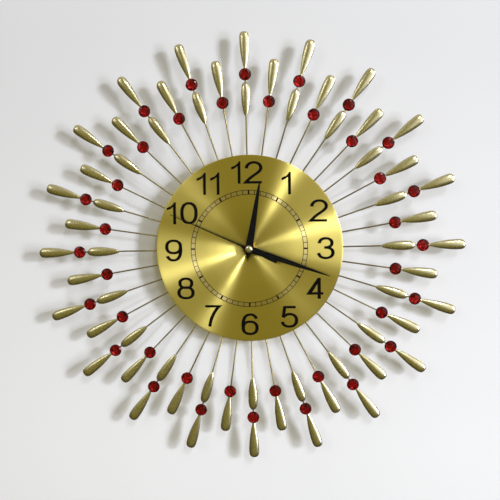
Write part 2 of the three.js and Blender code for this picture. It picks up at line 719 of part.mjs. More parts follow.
const BLADE = 0.7; // sheet thickness
const BOSS_THICKNESS = 1.2;
const SHANK = 0.3; // straight part of the cap, below its dome

// A blade from mirrored stations of [distance along, half width].
function blade(stations, back) {
  const right = stations.map(([along, half]) => new THREE.Vector2(half, along));
  const left = stations.map(([along, half]) => new THREE.Vector2(-half, along)).reverse();
  const points = [...right, ...left].filter((p, i, all) => i === 0 || p.distanceTo(all[i - 1]) > 0.01);
  return slab(new THREE.Shape(points), back, back + BLADE);
}

function hand(stations, bossDiameter, bore, back) {
  const front = back + BOSS_THICKNESS;
  const boss = rod(bossDiameter, back, front, AXIS, 24);
  return bored(join(blade(stations, back), boss), bore, [back, front]);
}

function hourHand() {
  const stations = [[-14, 0.5], [-4, 4.6], [6, 5.2], [60, 3.4], [HOUR_LENGTH, 0.3]];
  return hand(stations, HOUR_BOSS, HOUR_TUBE + PLAY, HOUR_BACK);
}

function minuteHand() {
  const stations = [[-11, 0.5], [-3, 4], [6, 4.5], [70, 2.8], [MINUTE_LENGTH, 0.3]];
  return hand(stations, MINUTE_BOSS, CANNON + PLAY, MINUTE_BACK);
}

function secondHand() {
  const stations = [
    [-SECOND_TAIL, 3.3], [-SECOND_TAIL + 16, 3], [-12, 0.9], [20, 0.8], [SECOND_LENGTH, 0.35],
  ];
  const shank = SECOND_BACK + BLADE;
  const dome = turned(
    [
      [0, SECOND_BACK], [CAP / 2, SECOND_BACK], [CAP / 2, shank + SHANK],
      [CAP * 0.4, CAP_TOP - 0.8], [CAP * 0.22, CAP_TOP - 0.15], [0, CAP_TOP],
    ],
    20,
  );
  const socket = rod(ARBOR + PLAY, SECOND_BACK - OVERRUN, SECOND_BACK + 1, AXIS, 12);
  return join(blade(stations, SECOND_BACK), dome).subtract(socket);
}

function addHand(clock, name, shape, angle) {
  const mesh = piece(name, shape, handBlack());
  mesh.rotation.z = -degrees(angle);
  clock.add(mesh);
}

// The clock.

const clock = new THREE.Group();
addRays(clock);
clock.add(
  piece('dial', dial(), dialGold()),
  piece('hub_plate', hubPlate(), steel()),
  piece('bush_nut', bushNut(), brass()),
  piece('movement_case', movementCase(), casePlastic()),
  piece('movement_cover', movementCover(), casePlastic()),
  piece('battery', battery(), cellWrap()),
  piece('circuit_board', circuitBoard(), boardGreen()),
  piece('stator', stator(), steel()),
  piece('rotor', rotor(), gearPlastic()),
  piece('intermediate_wheel', intermediateWheel(), gearPlastic()),
  piece('seconds_wheel', secondsWheel(), gearPlastic()),
  piece('third_wheel', thirdWheel(), gearPlastic()),
  piece('centre_wheel', centreWheel(), gearPlastic()),
  piece('cannon_pinion', cannonPinion(), brass()),
  piece('motion_wheel', motionWheel(), gearPlastic()),
  piece('hour_wheel', hourWheel(), gearPlastic()),
  piece('setting_knob', settingKnob(), casePlastic()),
);
addHand(clock, 'hour_hand', hourHand(), HOUR_ANGLE);
addHand(clock, 'minute_hand', minuteHand(), MINUTE_ANGLE);
addHand(clock, 'second_hand', secondHand(), SECOND_ANGLE);
clock.rotation.x = Math.PI / 2;

export default clock;
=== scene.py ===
"""The looks of a sunburst wall clock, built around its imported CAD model.

Pieces are drawn in the clock's own frame in millimetres, seen from the front: x to the right, y up
to twelve and d out of the wall. place() turns that into the row frame in metres.
"""

import json
import math
import random

import bmesh
import bpy
from mathutils import Matrix, Quaternion, Vector


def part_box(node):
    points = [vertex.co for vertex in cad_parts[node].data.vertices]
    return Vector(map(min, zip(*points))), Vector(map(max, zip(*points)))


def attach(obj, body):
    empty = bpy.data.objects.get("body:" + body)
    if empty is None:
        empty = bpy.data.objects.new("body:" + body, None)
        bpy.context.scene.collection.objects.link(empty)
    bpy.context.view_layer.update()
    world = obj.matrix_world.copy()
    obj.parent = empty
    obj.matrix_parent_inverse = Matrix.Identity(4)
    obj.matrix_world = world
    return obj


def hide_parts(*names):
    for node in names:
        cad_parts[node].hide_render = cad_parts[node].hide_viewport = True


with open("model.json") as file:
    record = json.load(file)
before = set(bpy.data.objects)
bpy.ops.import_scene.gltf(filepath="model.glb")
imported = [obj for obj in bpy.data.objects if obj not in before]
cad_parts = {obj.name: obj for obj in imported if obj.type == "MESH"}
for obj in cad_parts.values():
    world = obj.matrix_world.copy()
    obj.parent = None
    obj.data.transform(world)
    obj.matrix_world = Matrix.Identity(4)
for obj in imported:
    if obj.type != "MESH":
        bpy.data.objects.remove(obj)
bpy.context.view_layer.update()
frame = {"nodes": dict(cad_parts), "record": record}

MM = 0.001

# Sizes and counts that the CAD model was drawn to, in millimetres and degrees.
LONG_TIP = 300.0
SHORT_TIP = 264.5
RAY_PAIRS = 20
RAY_TURN = 0.8
WIRE = 2.0
WIRE_START = 50.0
STONE = 17.2
LEAF_LENGTH = 50.0
LEAF_WIDTH = 14.3
LEAF_THICKNESS = 7.0
LEAF_NECK = 3.0
INNER_LEAF_LENGTH = 46.0
INNER_LEAF_WIDTH = 13.2
NECK = 2.0
BUSH = 8.0
HOUR_ANGLE = 9.5
MINUTE_ANGLE = 109.0
SECOND_ANGLE = 294.0
CASE_DEPTH = 16.5
CASE_WALL = 1.5
PLATE_THICKNESS = 1.2
FIT = 0.02  # play between pieces that touch
BUSH_HOLE = BUSH / 2 + 0.3  # radius of a hole that the bush goes through
REACH = 1.0  # how far a cutter goes past what it cuts

# Printing on the dial.
TRACK_INNER = 76.2
TRACK_OUTER = 81.9
TRACK_LINE = 0.75
NUMERAL_RADIUS = 107.0
NUMERAL_SHIFTS = {  # outwards in millimetres and clockwise in degrees, for an even look
    1: (-2, 0), 2: (4, 1.7), 4: (2, 1), 5: (4.5, 0), 7: (2, -0.7),
    8: (-1, -1.7), 9: (-0.5, -1), 10: (-0.5, -1.6), 11: (0.5, -1.8), 12: (-0.5, -1.2),
}
NUMERAL_HEIGHT = 31.0
NUMERAL_WIDTH = 24.6
STEM = 4.7
BAR = 3.4
DIGIT_GAP = 6.0
PRINT_THICKNESS = 0.06


def place(x, y, d):
    """A point of the clock's frame in the row frame."""
    return Vector((x * MM, -d * MM, y * MM))


def depths(node):
    """How far a CAD node's back and front are from the wall, in millimetres."""
    low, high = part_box(node)
    return -high.y / MM, -low.y / MM


DIAL_RADIUS = (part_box("dial")[1].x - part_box("dial")[0].x) / 2 / MM
DIAL_BACK, DIAL_FRONT = depths("dial")
PLATE_RADIUS = (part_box("hub_plate")[1].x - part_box("hub_plate")[0].x) / 2 / MM
PLATE_BACK, BOSS_FRONT = depths("hub_plate")
PRINT_FRONT = DIAL_FRONT + PRINT_THICKNESS
RAY_BACK, RAY_FRONT = depths("ray_long_01")
WIRE_DEPTH = (RAY_BACK + RAY_FRONT) / 2


# ---------------------------------------------------------------- materials


def new_material(name, color, roughness, metallic=0.0):
    """A Principled material, with its node tree and its shader."""
    made = bpy.data.materials.new(name)
    made.use_nodes = True
    tree = made.node_tree
    shader = tree.nodes["Principled BSDF"]
    shader.inputs["Base Color"].default_value = (*color, 1)
    shader.inputs["Roughness"].default_value = roughness
    shader.inputs["Metallic"].default_value = metallic
    return made, tree, shader


def position(tree, kind="Object"):
    """Where a point is, as a node output."""
    return tree.nodes.new("ShaderNodeTexCoord").outputs[kind]


def coordinate(tree, axis, kind="Object"):
    """One coordinate of a point, as a node output."""
    parts = tree.nodes.new("ShaderNodeSeparateXYZ")
    tree.links.new(position(tree, kind), parts.inputs["Vector"])
    return parts.outputs[axis]


def vector_math(tree, operation, vector):
    """A node that works on one vector."""
    node = tree.nodes.new("ShaderNodeVectorMath")
    node.operation = operation
    tree.links.new(vector, node.inputs[0])
    return node


def noise(tree, scale, detail):
    """A noise texture's value over the surface; scale counts per metre."""
    texture = tree.nodes.new("ShaderNodeTexNoise")
    texture.inputs["Scale"].default_value = scale
    texture.inputs["Detail"].default_value = detail
    tree.links.new(position(tree), texture.inputs["Vector"])
    return texture.outputs["Fac"]


def ramp(tree, value, low, high, start=0.3, end=0.7):
    """Maps a value between start and end to the range low to high."""
    node = tree.nodes.new("ShaderNodeMapRange")
    node.inputs["From Min"].default_value = start
    node.inputs["From Max"].default_value = end
    node.inputs["To Min"].default_value = low
    node.inputs["To Max"].default_value = high
    tree.links.new(value, node.inputs["Value"])
    return node.outputs["Result"]


def between(tree, share, first, second):
    """A share of the way from the first colour to the second; each may be a link."""
    mix = tree.nodes.new("ShaderNodeMix")
    mix.data_type = "RGBA"
    tree.links.new(share, mix.inputs["Factor"])
    for socket, color in ((mix.inputs["A"], first), (mix.inputs["B"], second)):
        if isinstance(color, tuple):
            socket.default_value = (*color, 1)
        else:
            tree.links.new(color, socket)
    return mix.outputs["Result"]


def blend_colors(tree, value, first, second, start=0.3, end=0.7):
    """A colour that goes from first to second as a value goes from start to end."""
    return between(tree, ramp(tree, value, 0.0, 1.0, start, end), first, second)


def add_bump(tree, shader, value, distance, strength=1.0):
    """Raises a surface by a distance in metres where a value is high."""
    bump = tree.nodes.new("ShaderNodeBump")
    bump.inputs["Distance"].default_value = distance
    bump.inputs["Strength"].default_value = strength
    tree.links.new(value, bump.inputs["Height"])
    tree.links.new(bump.outputs["Normal"], shader.inputs["Normal"])


def grained(name, light, dark, roughness, metallic, scale, bump_height, specular=0.5):
    """A material whose colour, roughness and surface all vary with noise of two sizes."""
    made, tree, shader = new_material(name, light, roughness[0], metallic)
    shader.inputs["Specular IOR Level"].default_value = specular
    broad = noise(tree, scale * 0.08, 3.0)
    fine = noise(tree, scale, 5.0)
    tree.links.new(blend_colors(tree, broad, dark, light), shader.inputs["Base Color"])
    tree.links.new(ramp(tree, fine, *roughness), shader.inputs["Roughness"])
    add_bump(tree, shader, fine, bump_height)
    return made


def brushed_gold():
    """Spun gold: fine rings round the axis stretch every highlight into a bow tie."""
    made, tree, shader = new_material("brushed_gold", (0.91, 0.76, 0.22), 0.30, 1.0)
    outwards = vector_math(tree, "MULTIPLY", position(tree))
    outwards.inputs[1].default_value = (1, 0, 1)
    radius = vector_math(tree, "LENGTH", outwards.outputs["Vector"]).outputs["Value"]
    rings = tree.nodes.new("ShaderNodeTexNoise")
    rings.noise_dimensions = "1D"
    rings.inputs["Scale"].default_value = 2600.0
    rings.inputs["Detail"].default_value = 6.0
    rings.inputs["Roughness"].default_value = 0.7
    tree.links.new(radius, rings.inputs["W"])
    shade = blend_colors(tree, rings.outputs["Fac"], (0.86, 0.71, 0.20), (0.96, 0.81, 0.245))
    band = tree.nodes.new("ShaderNodeMath")
    band.operation = "COMPARE"
    band.inputs[1].default_value = (TRACK_INNER + TRACK_OUTER) / 2 * MM
    band.inputs[2].default_value = (TRACK_OUTER - TRACK_INNER) / 2 * MM
    tree.links.new(radius, band.inputs[0])
    printed = blend_colors(tree, band.outputs["Value"], shade, (0.86, 0.72, 0.42), 0.0, 1.6)
    tree.links.new(printed, shader.inputs["Base Color"])
    rough = ramp(tree, rings.outputs["Fac"], 0.28, 0.34)
    tree.links.new(rough, shader.inputs["Roughness"])
    add_bump(tree, shader, rings.outputs["Fac"], 0.00002, 0.35)
    shader.inputs["Anisotropic"].default_value = 1.0
    tangent = vector_math(tree, "NORMALIZE", outwards.outputs["Vector"])
    tree.links.new(tangent.outputs["Vector"], shader.inputs["Tangent"])
    return made


def ruby():
    """Dark red foiled stone whose facets carry painted light: each facet's colour goes from nearly black
    (painted shade) to bright red, and the brightest turn pale red as a painted glint.
    """
    made, tree, shader = new_material("ruby_stone", (0.3, 0.004, 0.01), 0.16)
    painted_facet_light = tree.nodes.new("ShaderNodeAttribute")
    painted_facet_light.attribute_name = "painted_facet_light"
    cloud = noise(tree, 520.0, 2.0)
    painted_light_red = blend_colors(tree, cloud, (0.17, 0.001, 0.003), (0.44, 0.002, 0.006))
    lit = blend_colors(tree, painted_facet_light.outputs["Fac"], (0.024, 0.0, 0.001), painted_light_red, 0.0, 0.75)
    # painted glint: facets with the most painted light turn pale red
    facet = blend_colors(tree, painted_facet_light.outputs["Fac"], lit, (0.80, 0.045, 0.05), 0.75, 1.05)
    tree.links.new(facet, shader.inputs["Base Color"])
    tree.links.new(ramp(tree, cloud, 0.10, 0.22), shader.inputs["Roughness"])
    shader.inputs["Specular IOR Level"].default_value = 0.2
    shader.inputs["Coat Weight"].default_value = 0.25
    shader.inputs["Coat Roughness"].default_value = 0.09
    return made


def pale_paint(name, low_tone, high_tone):
    """Pale paint with painted shade that makes it a little darker higher up, seen only from its front so
    that it hides nothing.
    """
    made, tree, shader = new_material(name, (low_tone, low_tone, low_tone), 0.85)
    cloud = noise(tree, 3.0, 2.0)
    # A bluish tint offsets the room light's yellow.
    low, high = (
        blend_colors(tree, cloud, *[(s * tone, s * tone, s * tone * 1.07) for s in (0.97, 1.0)])
        for tone in (low_tone, high_tone)
    )
    # painted shade: the tone darkens from low down to high up
    color = blend_colors(tree, coordinate(tree, "Z"), low, high, -0.3, 0.3)
    tree.links.new(color, shader.inputs["Base Color"])
    shader.inputs["Specular IOR Level"].default_value = 0.1
    clear = tree.nodes.new("ShaderNodeBsdfTransparent")
    side = tree.nodes.new("ShaderNodeNewGeometry")
    mix = tree.nodes.new("ShaderNodeMixShader")
    output = tree.nodes["Material Output"]
    tree.links.new(side.outputs["Backfacing"], mix.inputs["Fac"])
    tree.links.new(shader.outputs["BSDF"], mix.inputs[1])
    tree.links.new(clear.outputs["BSDF"], mix.inputs[2])
    tree.links.new(mix.outputs["Shader"], output.inputs["Surface"])
    return made


def cell_sleeve():
    """Plain two-tone sleeve of the battery, its bands set along the cell."""
    made, tree, shader = new_material("cell_wrap", (0.05, 0.08, 0.14), 0.25)
    along = coordinate(tree, "X")
    band = blend_colors(tree, along, (0.045, 0.075, 0.13), (0.50, 0.52, 0.54), 0.0118, 0.0122)
    scuffs = noise(tree, 700.0, 6.0)
    worn = blend_colors(tree, scuffs, band, (0.30, 0.32, 0.35), 0.62, 0.95)
    tree.links.new(worn, shader.inputs["Base Color"])
    tree.links.new(ramp(tree, scuffs, 0.2, 0.38), shader.inputs["Roughness"])
    shader.inputs["Coat Weight"].default_value = 0.4
    return made


# Light and dark colour, roughness, metallic, grains per metre, height of the grain and, where it
# isn't the usual one, specular level.
GRAINED = {
    "ray_gold": ((0.76, 0.70, 0.46), (0.68, 0.62, 0.40), (0.24, 0.29), 1.0, 1600.0, 0.000002),
    # painted shade: a darker copy of the ray gold for the thin bare wires
    "wire": ((0.35, 0.28, 0.12), (0.26, 0.205, 0.085), (0.28, 0.42), 1.0, 1500.0, 0.00001),
    "dial_print": ((0.003, 0.003, 0.003), (0.006, 0.005, 0.004), (0.5, 0.65), 0.0, 2500.0, 0.000003, 0.04),
    "black_hand": ((0.004, 0.004, 0.004), (0.008, 0.008, 0.008), (0.42, 0.55), 0.0, 1800.0, 0.000004, 0.07),
    "cap_metal": ((0.80, 0.77, 0.64), (0.72, 0.69, 0.56), (0.16, 0.28), 1.0, 1500.0, 0.000004),
    "cell_steel": ((0.72, 0.72, 0.71), (0.58, 0.58, 0.57), (0.22, 0.36), 1.0, 1300.0, 0.000004),
    "hub_steel": ((0.50, 0.43, 0.22), (0.46, 0.39, 0.20), (0.32, 0.42), 1.0, 1900.0, 0.000006),
    "brass": ((0.78, 0.58, 0.25), (0.66, 0.48, 0.20), (0.22, 0.36), 1.0, 1500.0, 0.000006),
    "case_plastic": ((0.034, 0.034, 0.036), (0.022, 0.022, 0.024), (0.42, 0.60), 0.0, 2600.0, 0.00003),
    "knob_plastic": ((0.060, 0.060, 0.064), (0.040, 0.040, 0.043), (0.25, 0.4), 0.0, 2200.0, 0.00001),
    "rubber": ((0.030, 0.030, 0.030), (0.020, 0.020, 0.020), (0.7, 0.85), 0.0, 3000.0, 0.00002, 0.3),
    "gear_plastic": ((0.84, 0.81, 0.72), (0.78, 0.74, 0.64), (0.4, 0.55), 0.0, 1800.0, 0.000008),
    "stator_iron": ((0.52, 0.51, 0.50), (0.40, 0.39, 0.38), (0.3, 0.5), 1.0, 1400.0, 0.00001),
    "circuit_board": ((0.05, 0.20, 0.09), (0.03, 0.14, 0.06), (0.3, 0.45), 0.0, 900.0, 0.00002),
}
MATERIALS = {name: grained(name, *looks) for name, looks in GRAINED.items()}
MATERIALS["brushed_gold"] = brushed_gold()
MATERIALS["ruby_stone"] = ruby()
MATERIALS["cell_wrap"] = cell_sleeve()


# ---------------------------------------------------------------- meshes


def show(name, data):
    """A new object in the scene, for a mesh, a light or a camera."""
    made = bpy.data.objects.new(name, data)
    bpy.context.scene.collection.objects.link(made)
    return made


def build(name, points, faces, slot, sharp=35.0):
    """A piece from points in the clock's frame, smooth except where faces meet sharply."""
    mesh = bpy.data.meshes.new(name)
    mesh.from_pydata([place(*p) for p in points], [], faces)
    work = bmesh.new()
    work.from_mesh(mesh)
    bmesh.ops.remove_doubles(work, verts=work.verts, dist=1e-7)
    bmesh.ops.recalc_face_normals(work, faces=work.faces)
    work.to_mesh(mesh)
    work.free()
    mesh.shade_smooth()
    mesh.set_sharp_from_angle(angle=math.radians(sharp))
    mesh.materials.append(MATERIALS[slot])
    return show(name, mesh)


def settle(piece, body, slot, *nodes):
    """Makes a piece ride on its body and stand for its CAD nodes; its slot is not used."""
    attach(piece, body)
    if nodes:
        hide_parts(*nodes)


def turned(profile, segments, wave=None):
    """Points and faces of a closed profile of (radius, depth) turned about the axis."""
    points = []
    faces = []
    count = len(profile)
    for i in range(segments):
        angle = 2 * math.pi * i / segments
        for radius, depth in profile:
            r = radius * (wave(angle, radius) if wave else 1.0)
            points.append((r * math.cos(angle), r * math.sin(angle), depth))
    for i in range(segments):
        j = (i + 1) % segments
        for k in range(count):
            m = (k + 1) % count
            faces.append((i * count + k, j * count + k, j * count + m, i * count + m))
    return points, faces


def loft(rings):
    """Points and faces of a solid through rings of the same number of points."""
    count = len(rings[0])
    points = [point for ring in rings for point in ring]
    faces = [tuple(range(count)), tuple(range(len(points) - count, len(points)))]
    for a in range(0, len(points) - count, count):
        b = a + count
        for side in range(count):
            following = (side + 1) % count
            faces.append((a + side, b + side, b + following, a + following))
    return points, faces


def extruded(outline, back, front):
    """Points and faces of a flat outline of (x, y) between two depths."""
    return loft([[(x, y, depth) for x, y in outline] for depth in (back, front)])


def joined(shapes):
    """Points and faces of several shapes as one."""
    points = []
    faces = []
    for shape_points, shape_faces in shapes:
        start = len(points)
        points.extend(shape_points)
        faces.extend(tuple(start + i for i in face) for face in shape_faces)
    return points, faces


def rectangle(left, low, right, high):
    """The corners of a rectangle, anticlockwise."""
    return [(left, low), (right, low), (right, high), (left, high)]


def bar(x, y, width, height):
    """A rectangle about its middle."""
    return rectangle(x - width / 2, y - height / 2, x + width / 2, y + height / 2)


def arc(center, radius, start, end, steps):
    """Points on an arc, its angles in degrees, anticlockwise from the x axis."""
    found = []
    for i in range(steps + 1):
        angle = math.radians(start + (end - start) * i / steps)
        found.append((center[0] + radius * math.cos(angle), center[1] + radius * math.sin(angle)))
    return found


def swung(x, y, angle):
    """A point turned clockwise about the axis by an angle in radians."""
    c, s = math.cos(angle), math.sin(angle)
    return x * c + y * s, y * c - x * s


def apply_modifiers(piece):
    """Turns a piece's modifiers into mesh."""
    graph = bpy.context.evaluated_depsgraph_get()
    mesh = bpy.data.meshes.new_from_object(piece.evaluated_get(graph))
    piece.modifiers.clear()
    piece.data = mesh


def boolean(piece, other, operation):
    """Cuts a piece by another, or joins them, and removes the other."""
    modifier = piece.modifiers.new("cut", "BOOLEAN")
    modifier.operation = operation
    modifier.solver = "EXACT"
    modifier.object = other
    apply_modifiers(piece)
    bpy.data.objects.remove(other)


def fused(pieces):
    """Several pieces joined into the first."""
    for piece in pieces[1:]:
        boolean(pieces[0], piece, "UNION")
    return pieces[0]


def drill(piece, radius, back, front, segments, slot):
    """Cuts a round hole on the hands' axis through a piece that lies between two depths."""
    low, high = back - REACH, front + REACH
    profile = [(0.001, low), (radius, low), (radius, high), (0.001, high)]
    boolean(piece, build("drill", *turned(profile, segments), slot), "DIFFERENCE")


def even_shading(piece):
    """Smooths a piece over its rounded edges while its broad faces stay flat."""
    piece.data.shade_smooth()
    piece.data.set_sharp_from_angle(angle=math.radians(50))
    modifier = piece.modifiers.new("even", "WEIGHTED_NORMAL")
    modifier.keep_sharp = True
    modifier.weight = 100
    apply_modifiers(piece)


def soften(piece, width, angle=40.0):
    """Rounds a piece's edges that are sharper than an angle, by a width in millimetres."""
    modifier = piece.modifiers.new("soften", "BEVEL")
    modifier.width = width * MM
    modifier.segments = 2
    modifier.limit_method = "ANGLE"
    modifier.angle_limit = math.radians(angle)
    apply_modifiers(piece)
    even_shading(piece)


def turn_clockwise(piece, angle):
    """Turns a piece about the hands' axis, clockwise as seen from the front."""
    piece.rotation_mode = "QUATERNION"
    piece.rotation_quaternion = Quaternion((0, 1, 0), math.radians(angle))


# ---------------------------------------------------------------- rays

LEAF_STEPS = 28
RAY_SIDES = 32

# A leaf's outline: where it is widest, how full its tapered side is, and how blunt its round end.
OUTER_DROP = (0.79, 0.88, 2.8)
INNER_DROP = (0.66, 0.62, 2.5)
LEAF_TIP = 0.05
WIRE_CHAMFER = 0.2
BARE_WIRE = WIRE * 0.55  # a ray is bare wire where its half width is less


def drop(t, neck, outline):
    """A leaf's half width at a share t of its length, as a share of its greatest."""
    widest, taper, blunt = outline
    if t > widest:
        return max(0.0, 1 - ((t - widest) / (1 - widest)) ** blunt) ** (1 / blunt)
    return neck + (1 - neck) * math.sin(math.pi / 2 * t / widest) ** taper


def leaf_sections(start, length, width, neck_width, end_width, outline):
    """Sections (distance, half width, half thickness) of a leaf, closer together at its ends."""
    sections = []
    for i in range(LEAF_STEPS + 1):
        t = (1 - math.cos(math.pi * i / LEAF_STEPS)) / 2
        share = drop(t, neck_width / width, outline)
        half_width = max(end_width / 2, share * width / 2)
        half_thickness = max(min(WIRE / 2, half_width), share * LEAF_THICKNESS / 2)
        sections.append((start + t * length, half_width, half_thickness))
    return sections


def ellipse(along, half_width, half_thickness):
    """The ring of points round a section of a ray."""
    ring = []
    for side in range(RAY_SIDES):
        angle = 2 * math.pi * side / RAY_SIDES
        depth = WIRE_DEPTH + half_thickness * math.sin(angle)
        ring.append((half_width * math.cos(angle), along, depth))
    return ring


def stone_center(tip):
    """How far a ray's stone is from the axis."""
    return tip - LEAF_LENGTH - STONE / 2


def ray_metal(name, tip, has_inner_leaf):
    """Wire and leaves of one ray, the bare wire in a darker copy of the gold as painted shade."""
    center = stone_center(tip)
    radius = WIRE / 2
    bevel = radius - WIRE_CHAMFER
    sections = [(WIRE_START, bevel, bevel), (WIRE_START + WIRE_CHAMFER, radius, radius)]
    if has_inner_leaf:
        start = center - STONE / 2 - NECK - INNER_LEAF_LENGTH
        sections += leaf_sections(start, INNER_LEAF_LENGTH, INNER_LEAF_WIDTH, WIRE, WIRE, INNER_DROP)
    start = tip - LEAF_LENGTH
    sections += [(center, radius, radius), (start - NECK, radius, radius)]
    sections += leaf_sections(start, LEAF_LENGTH, LEAF_WIDTH, LEAF_NECK, LEAF_TIP, OUTER_DROP)
    made = build(name, *loft([ellipse(*section) for section in sections]), "ray_gold", 60)
    made.data.materials.append(MATERIALS["wire"])
    bare = [
        (lower[0], upper[0])
        for lower, upper in zip(sections, sections[1:])
        if max(lower[1], upper[1]) < BARE_WIRE
    ]
    for face in made.data.polygons:
        along = face.center.z / MM
        if any(low <= along <= high for low, high in bare):
            face.material_index = 1
    return made


CUP_RADIUS = STONE / 2 - 0.6
CUP_FRONT = WIRE_DEPTH + 0.9
STONE_RADIUS = STONE / 2 - 0.05
STONE_BACK = CUP_FRONT + 0.05
STONE_GIRDLE = WIRE_DEPTH + 1.5
STONE_FRONT = RAY_FRONT + 0.3
FACETS = 12  # facets in each ring of the stone
STONE_RINGS = [(0.36, 1.0), (0.62, 0.93), (0.86, 0.72), (1.0, 0.18), (1.0, 0.0)]  # radius, height


def cup(name, center):
    """The shallow metal cup that carries a stone."""
    profile = [
        (0.02, WIRE_DEPTH - 1.3), (2.5, WIRE_DEPTH - 1.2), (5.0, WIRE_DEPTH - 0.7),
        (6.8, WIRE_DEPTH + 0.1), (CUP_RADIUS - 0.1, CUP_FRONT - 0.3), (CUP_RADIUS, CUP_FRONT - 0.1),
        (CUP_RADIUS - 0.15, CUP_FRONT), (0.02, CUP_FRONT),
    ]
    points, faces = turned(profile, 40)
    return build(name, [(x, y + center, d) for x, y, d in points], faces, "ray_gold", 50)


def stone(name, center):
    """A flat-backed cut stone: a flat top, three rings of sloped facets and an upright edge."""
    rings = []
    for row, (share, rise) in enumerate(STONE_RINGS):
        depth = STONE_GIRDLE + (STONE_FRONT - STONE_GIRDLE) * rise
        rings.append((STONE_RADIUS * share, depth, 0.5 * (row % 2)))
    rings.append((STONE_RADIUS, STONE_BACK, rings[-1][2]))
    points = []
    for radius, depth, offset in rings:
        for i in range(FACETS):
            angle = 2 * math.pi * (i + offset) / FACETS
            points.append((radius * math.sin(angle), center + radius * math.cos(angle), depth))
    last = len(points) - FACETS
    faces = [tuple(range(FACETS)), tuple(range(last, last + FACETS))]
    for row in range(len(STONE_RINGS) - 1):
        a, b = row * FACETS, (row + 1) * FACETS
        shift = row % 2
        for i in range(FACETS):
            following = (i + 1) % FACETS
            faces.append((a + i, a + following, b + (i + shift) % FACETS))
            faces.append((b + i, b + following, a + (i + 1 - shift) % FACETS))
    edge = last - FACETS
    for i in range(FACETS):
        following = (i + 1) % FACETS
        faces.append((edge + i, edge + following, last + following, last + i))
    return build(name, points, faces, "ruby_stone", 3)


LIT_FROM = Vector((0.75, 0, 0.66))  # towards the window
HEART_PAINTED_LIGHT = (0.26, 0.48)  # lowest and highest painted light at a stone's middle
# How much the painted light falls off towards the window, and how much painted shade darkens the rim.
SIDE_PAINTED_LIGHT = 0.35
RIM_PAINTED_SHADE = 0.34
HEART_SCATTER = 0.10
MOST_SCATTER = 0.55
SEED = 12


def light_facets(piece, dice):
    """Paints each facet's light and shade: facets on the window's side are painted dark and those on the
    other side bright, because light that enters on the window's side leaves on the other; the rim gets
    painted shade, and each facet's painted light varies at random.
    """
    mesh = piece.data
    corners = [vertex.co for vertex in mesh.vertices]
    middle = sum(corners, Vector((0, 0, 0))) / len(corners)
    heart = dice.uniform(*HEART_PAINTED_LIGHT)
    painted_facet_light = mesh.attributes.new("painted_facet_light", "FLOAT", "FACE")
    for face in mesh.polygons:
        side = (face.center - middle) / (STONE_RADIUS * MM)
        rim = Vector((side.x, 0, side.z)).length
        scatter = min(MOST_SCATTER, HEART_SCATTER + rim)
        # painted light: darker towards the window, painted shade at the rim
        painted_light = heart - SIDE_PAINTED_LIGHT * side.dot(LIT_FROM) - RIM_PAINTED_SHADE * rim ** 3
        painted_light += dice.uniform(-scatter, scatter)
        painted_facet_light.data[face.index].value = min(1.0, max(0.0, painted_light))


def clockwise_copy(source, name, angle):
    """The same piece turned about the hands' axis, clockwise as seen from the front."""
    mesh = source.data.copy()
    mesh.transform(Matrix.Rotation(math.radians(angle), 4, "Y"))
    return show(name, mesh)


def rays():
    """Forty rays, long and short by turns, each of a metal piece, a cup and a stone."""
    dice = random.Random(SEED)
    step = 360.0 / RAY_PAIRS
    for kind, tip, has_inner, offset in (
        ("long", LONG_TIP, True, 0.0),
        ("short", SHORT_TIP, False, step / 2),
    ):
        patterns = {
            "metal": ray_metal("metal", tip, has_inner),
            "cup": cup("cup", stone_center(tip)),
            "stone": stone("stone", stone_center(tip)),
        }
        for i in range(RAY_PAIRS):
            number = f"{i + 1:02d}"
            angle = offset + i * step - RAY_TURN
            for part, pattern in patterns.items():
                piece = clockwise_copy(pattern, f"{part}_{kind}_{number}", angle)
                if part == "metal":
                    settle(piece, "root", "ray_gold", f"ray_{kind}_{number}")
                elif part == "cup":
                    settle(piece, "root", "ray_gold")
                else:
                    light_facets(piece, dice)
                    settle(piece, "root", "ruby_stone")
        for pattern in patterns.values():
            bpy.data.objects.remove(pattern)


# ---------------------------------------------------------------- dial

DIAL_EDGE = 0.7  # radius of the dial's turned edge
HOUR_TICK = 1.1  # half widths
MINUTE_TICK = 0.4


def dial_disc():
    """The spun disc: a softly turned edge, and the hole for the bush."""
    rim = DIAL_RADIUS
    profile = [(BUSH_HOLE, DIAL_BACK), (rim - 0.5, DIAL_BACK), (rim - 0.1, DIAL_BACK + 0.2)]
    profile += arc((rim - DIAL_EDGE, DIAL_FRONT - DIAL_EDGE), DIAL_EDGE, 0, 90, 6)
    profile += [(rim - 4, DIAL_FRONT), (rim * 0.5, DIAL_FRONT)]
    profile += [(BUSH_HOLE + 0.2, DIAL_FRONT), (BUSH_HOLE, DIAL_FRONT - 0.2)]
    return build("dial_disc", *turned(profile, 256), "brushed_gold", 60)


def minute_track():
    """Two printed circles with a tick every minute and a broad one every five."""
    shapes = []
    for radius in (TRACK_INNER, TRACK_OUTER):
        low, high = radius - TRACK_LINE / 2, radius + TRACK_LINE / 2
        line = [(low, DIAL_FRONT), (high, DIAL_FRONT), (high, PRINT_FRONT), (low, PRINT_FRONT)]
        shapes.append(turned(line, 240))
    inner = TRACK_INNER + TRACK_LINE / 2
    outer = TRACK_OUTER - TRACK_LINE / 2
    for minute in range(60):
        half = HOUR_TICK if minute % 5 == 0 else MINUTE_TICK
        angle = math.radians(6 * minute)
        tick = [swung(x, y, angle) for x, y in rectangle(-half, inner, half, outer)]
        shapes.append(extruded(tick, DIAL_FRONT, PRINT_FRONT))
    return build("minute_track", *joined(shapes), "dial_print", 30)


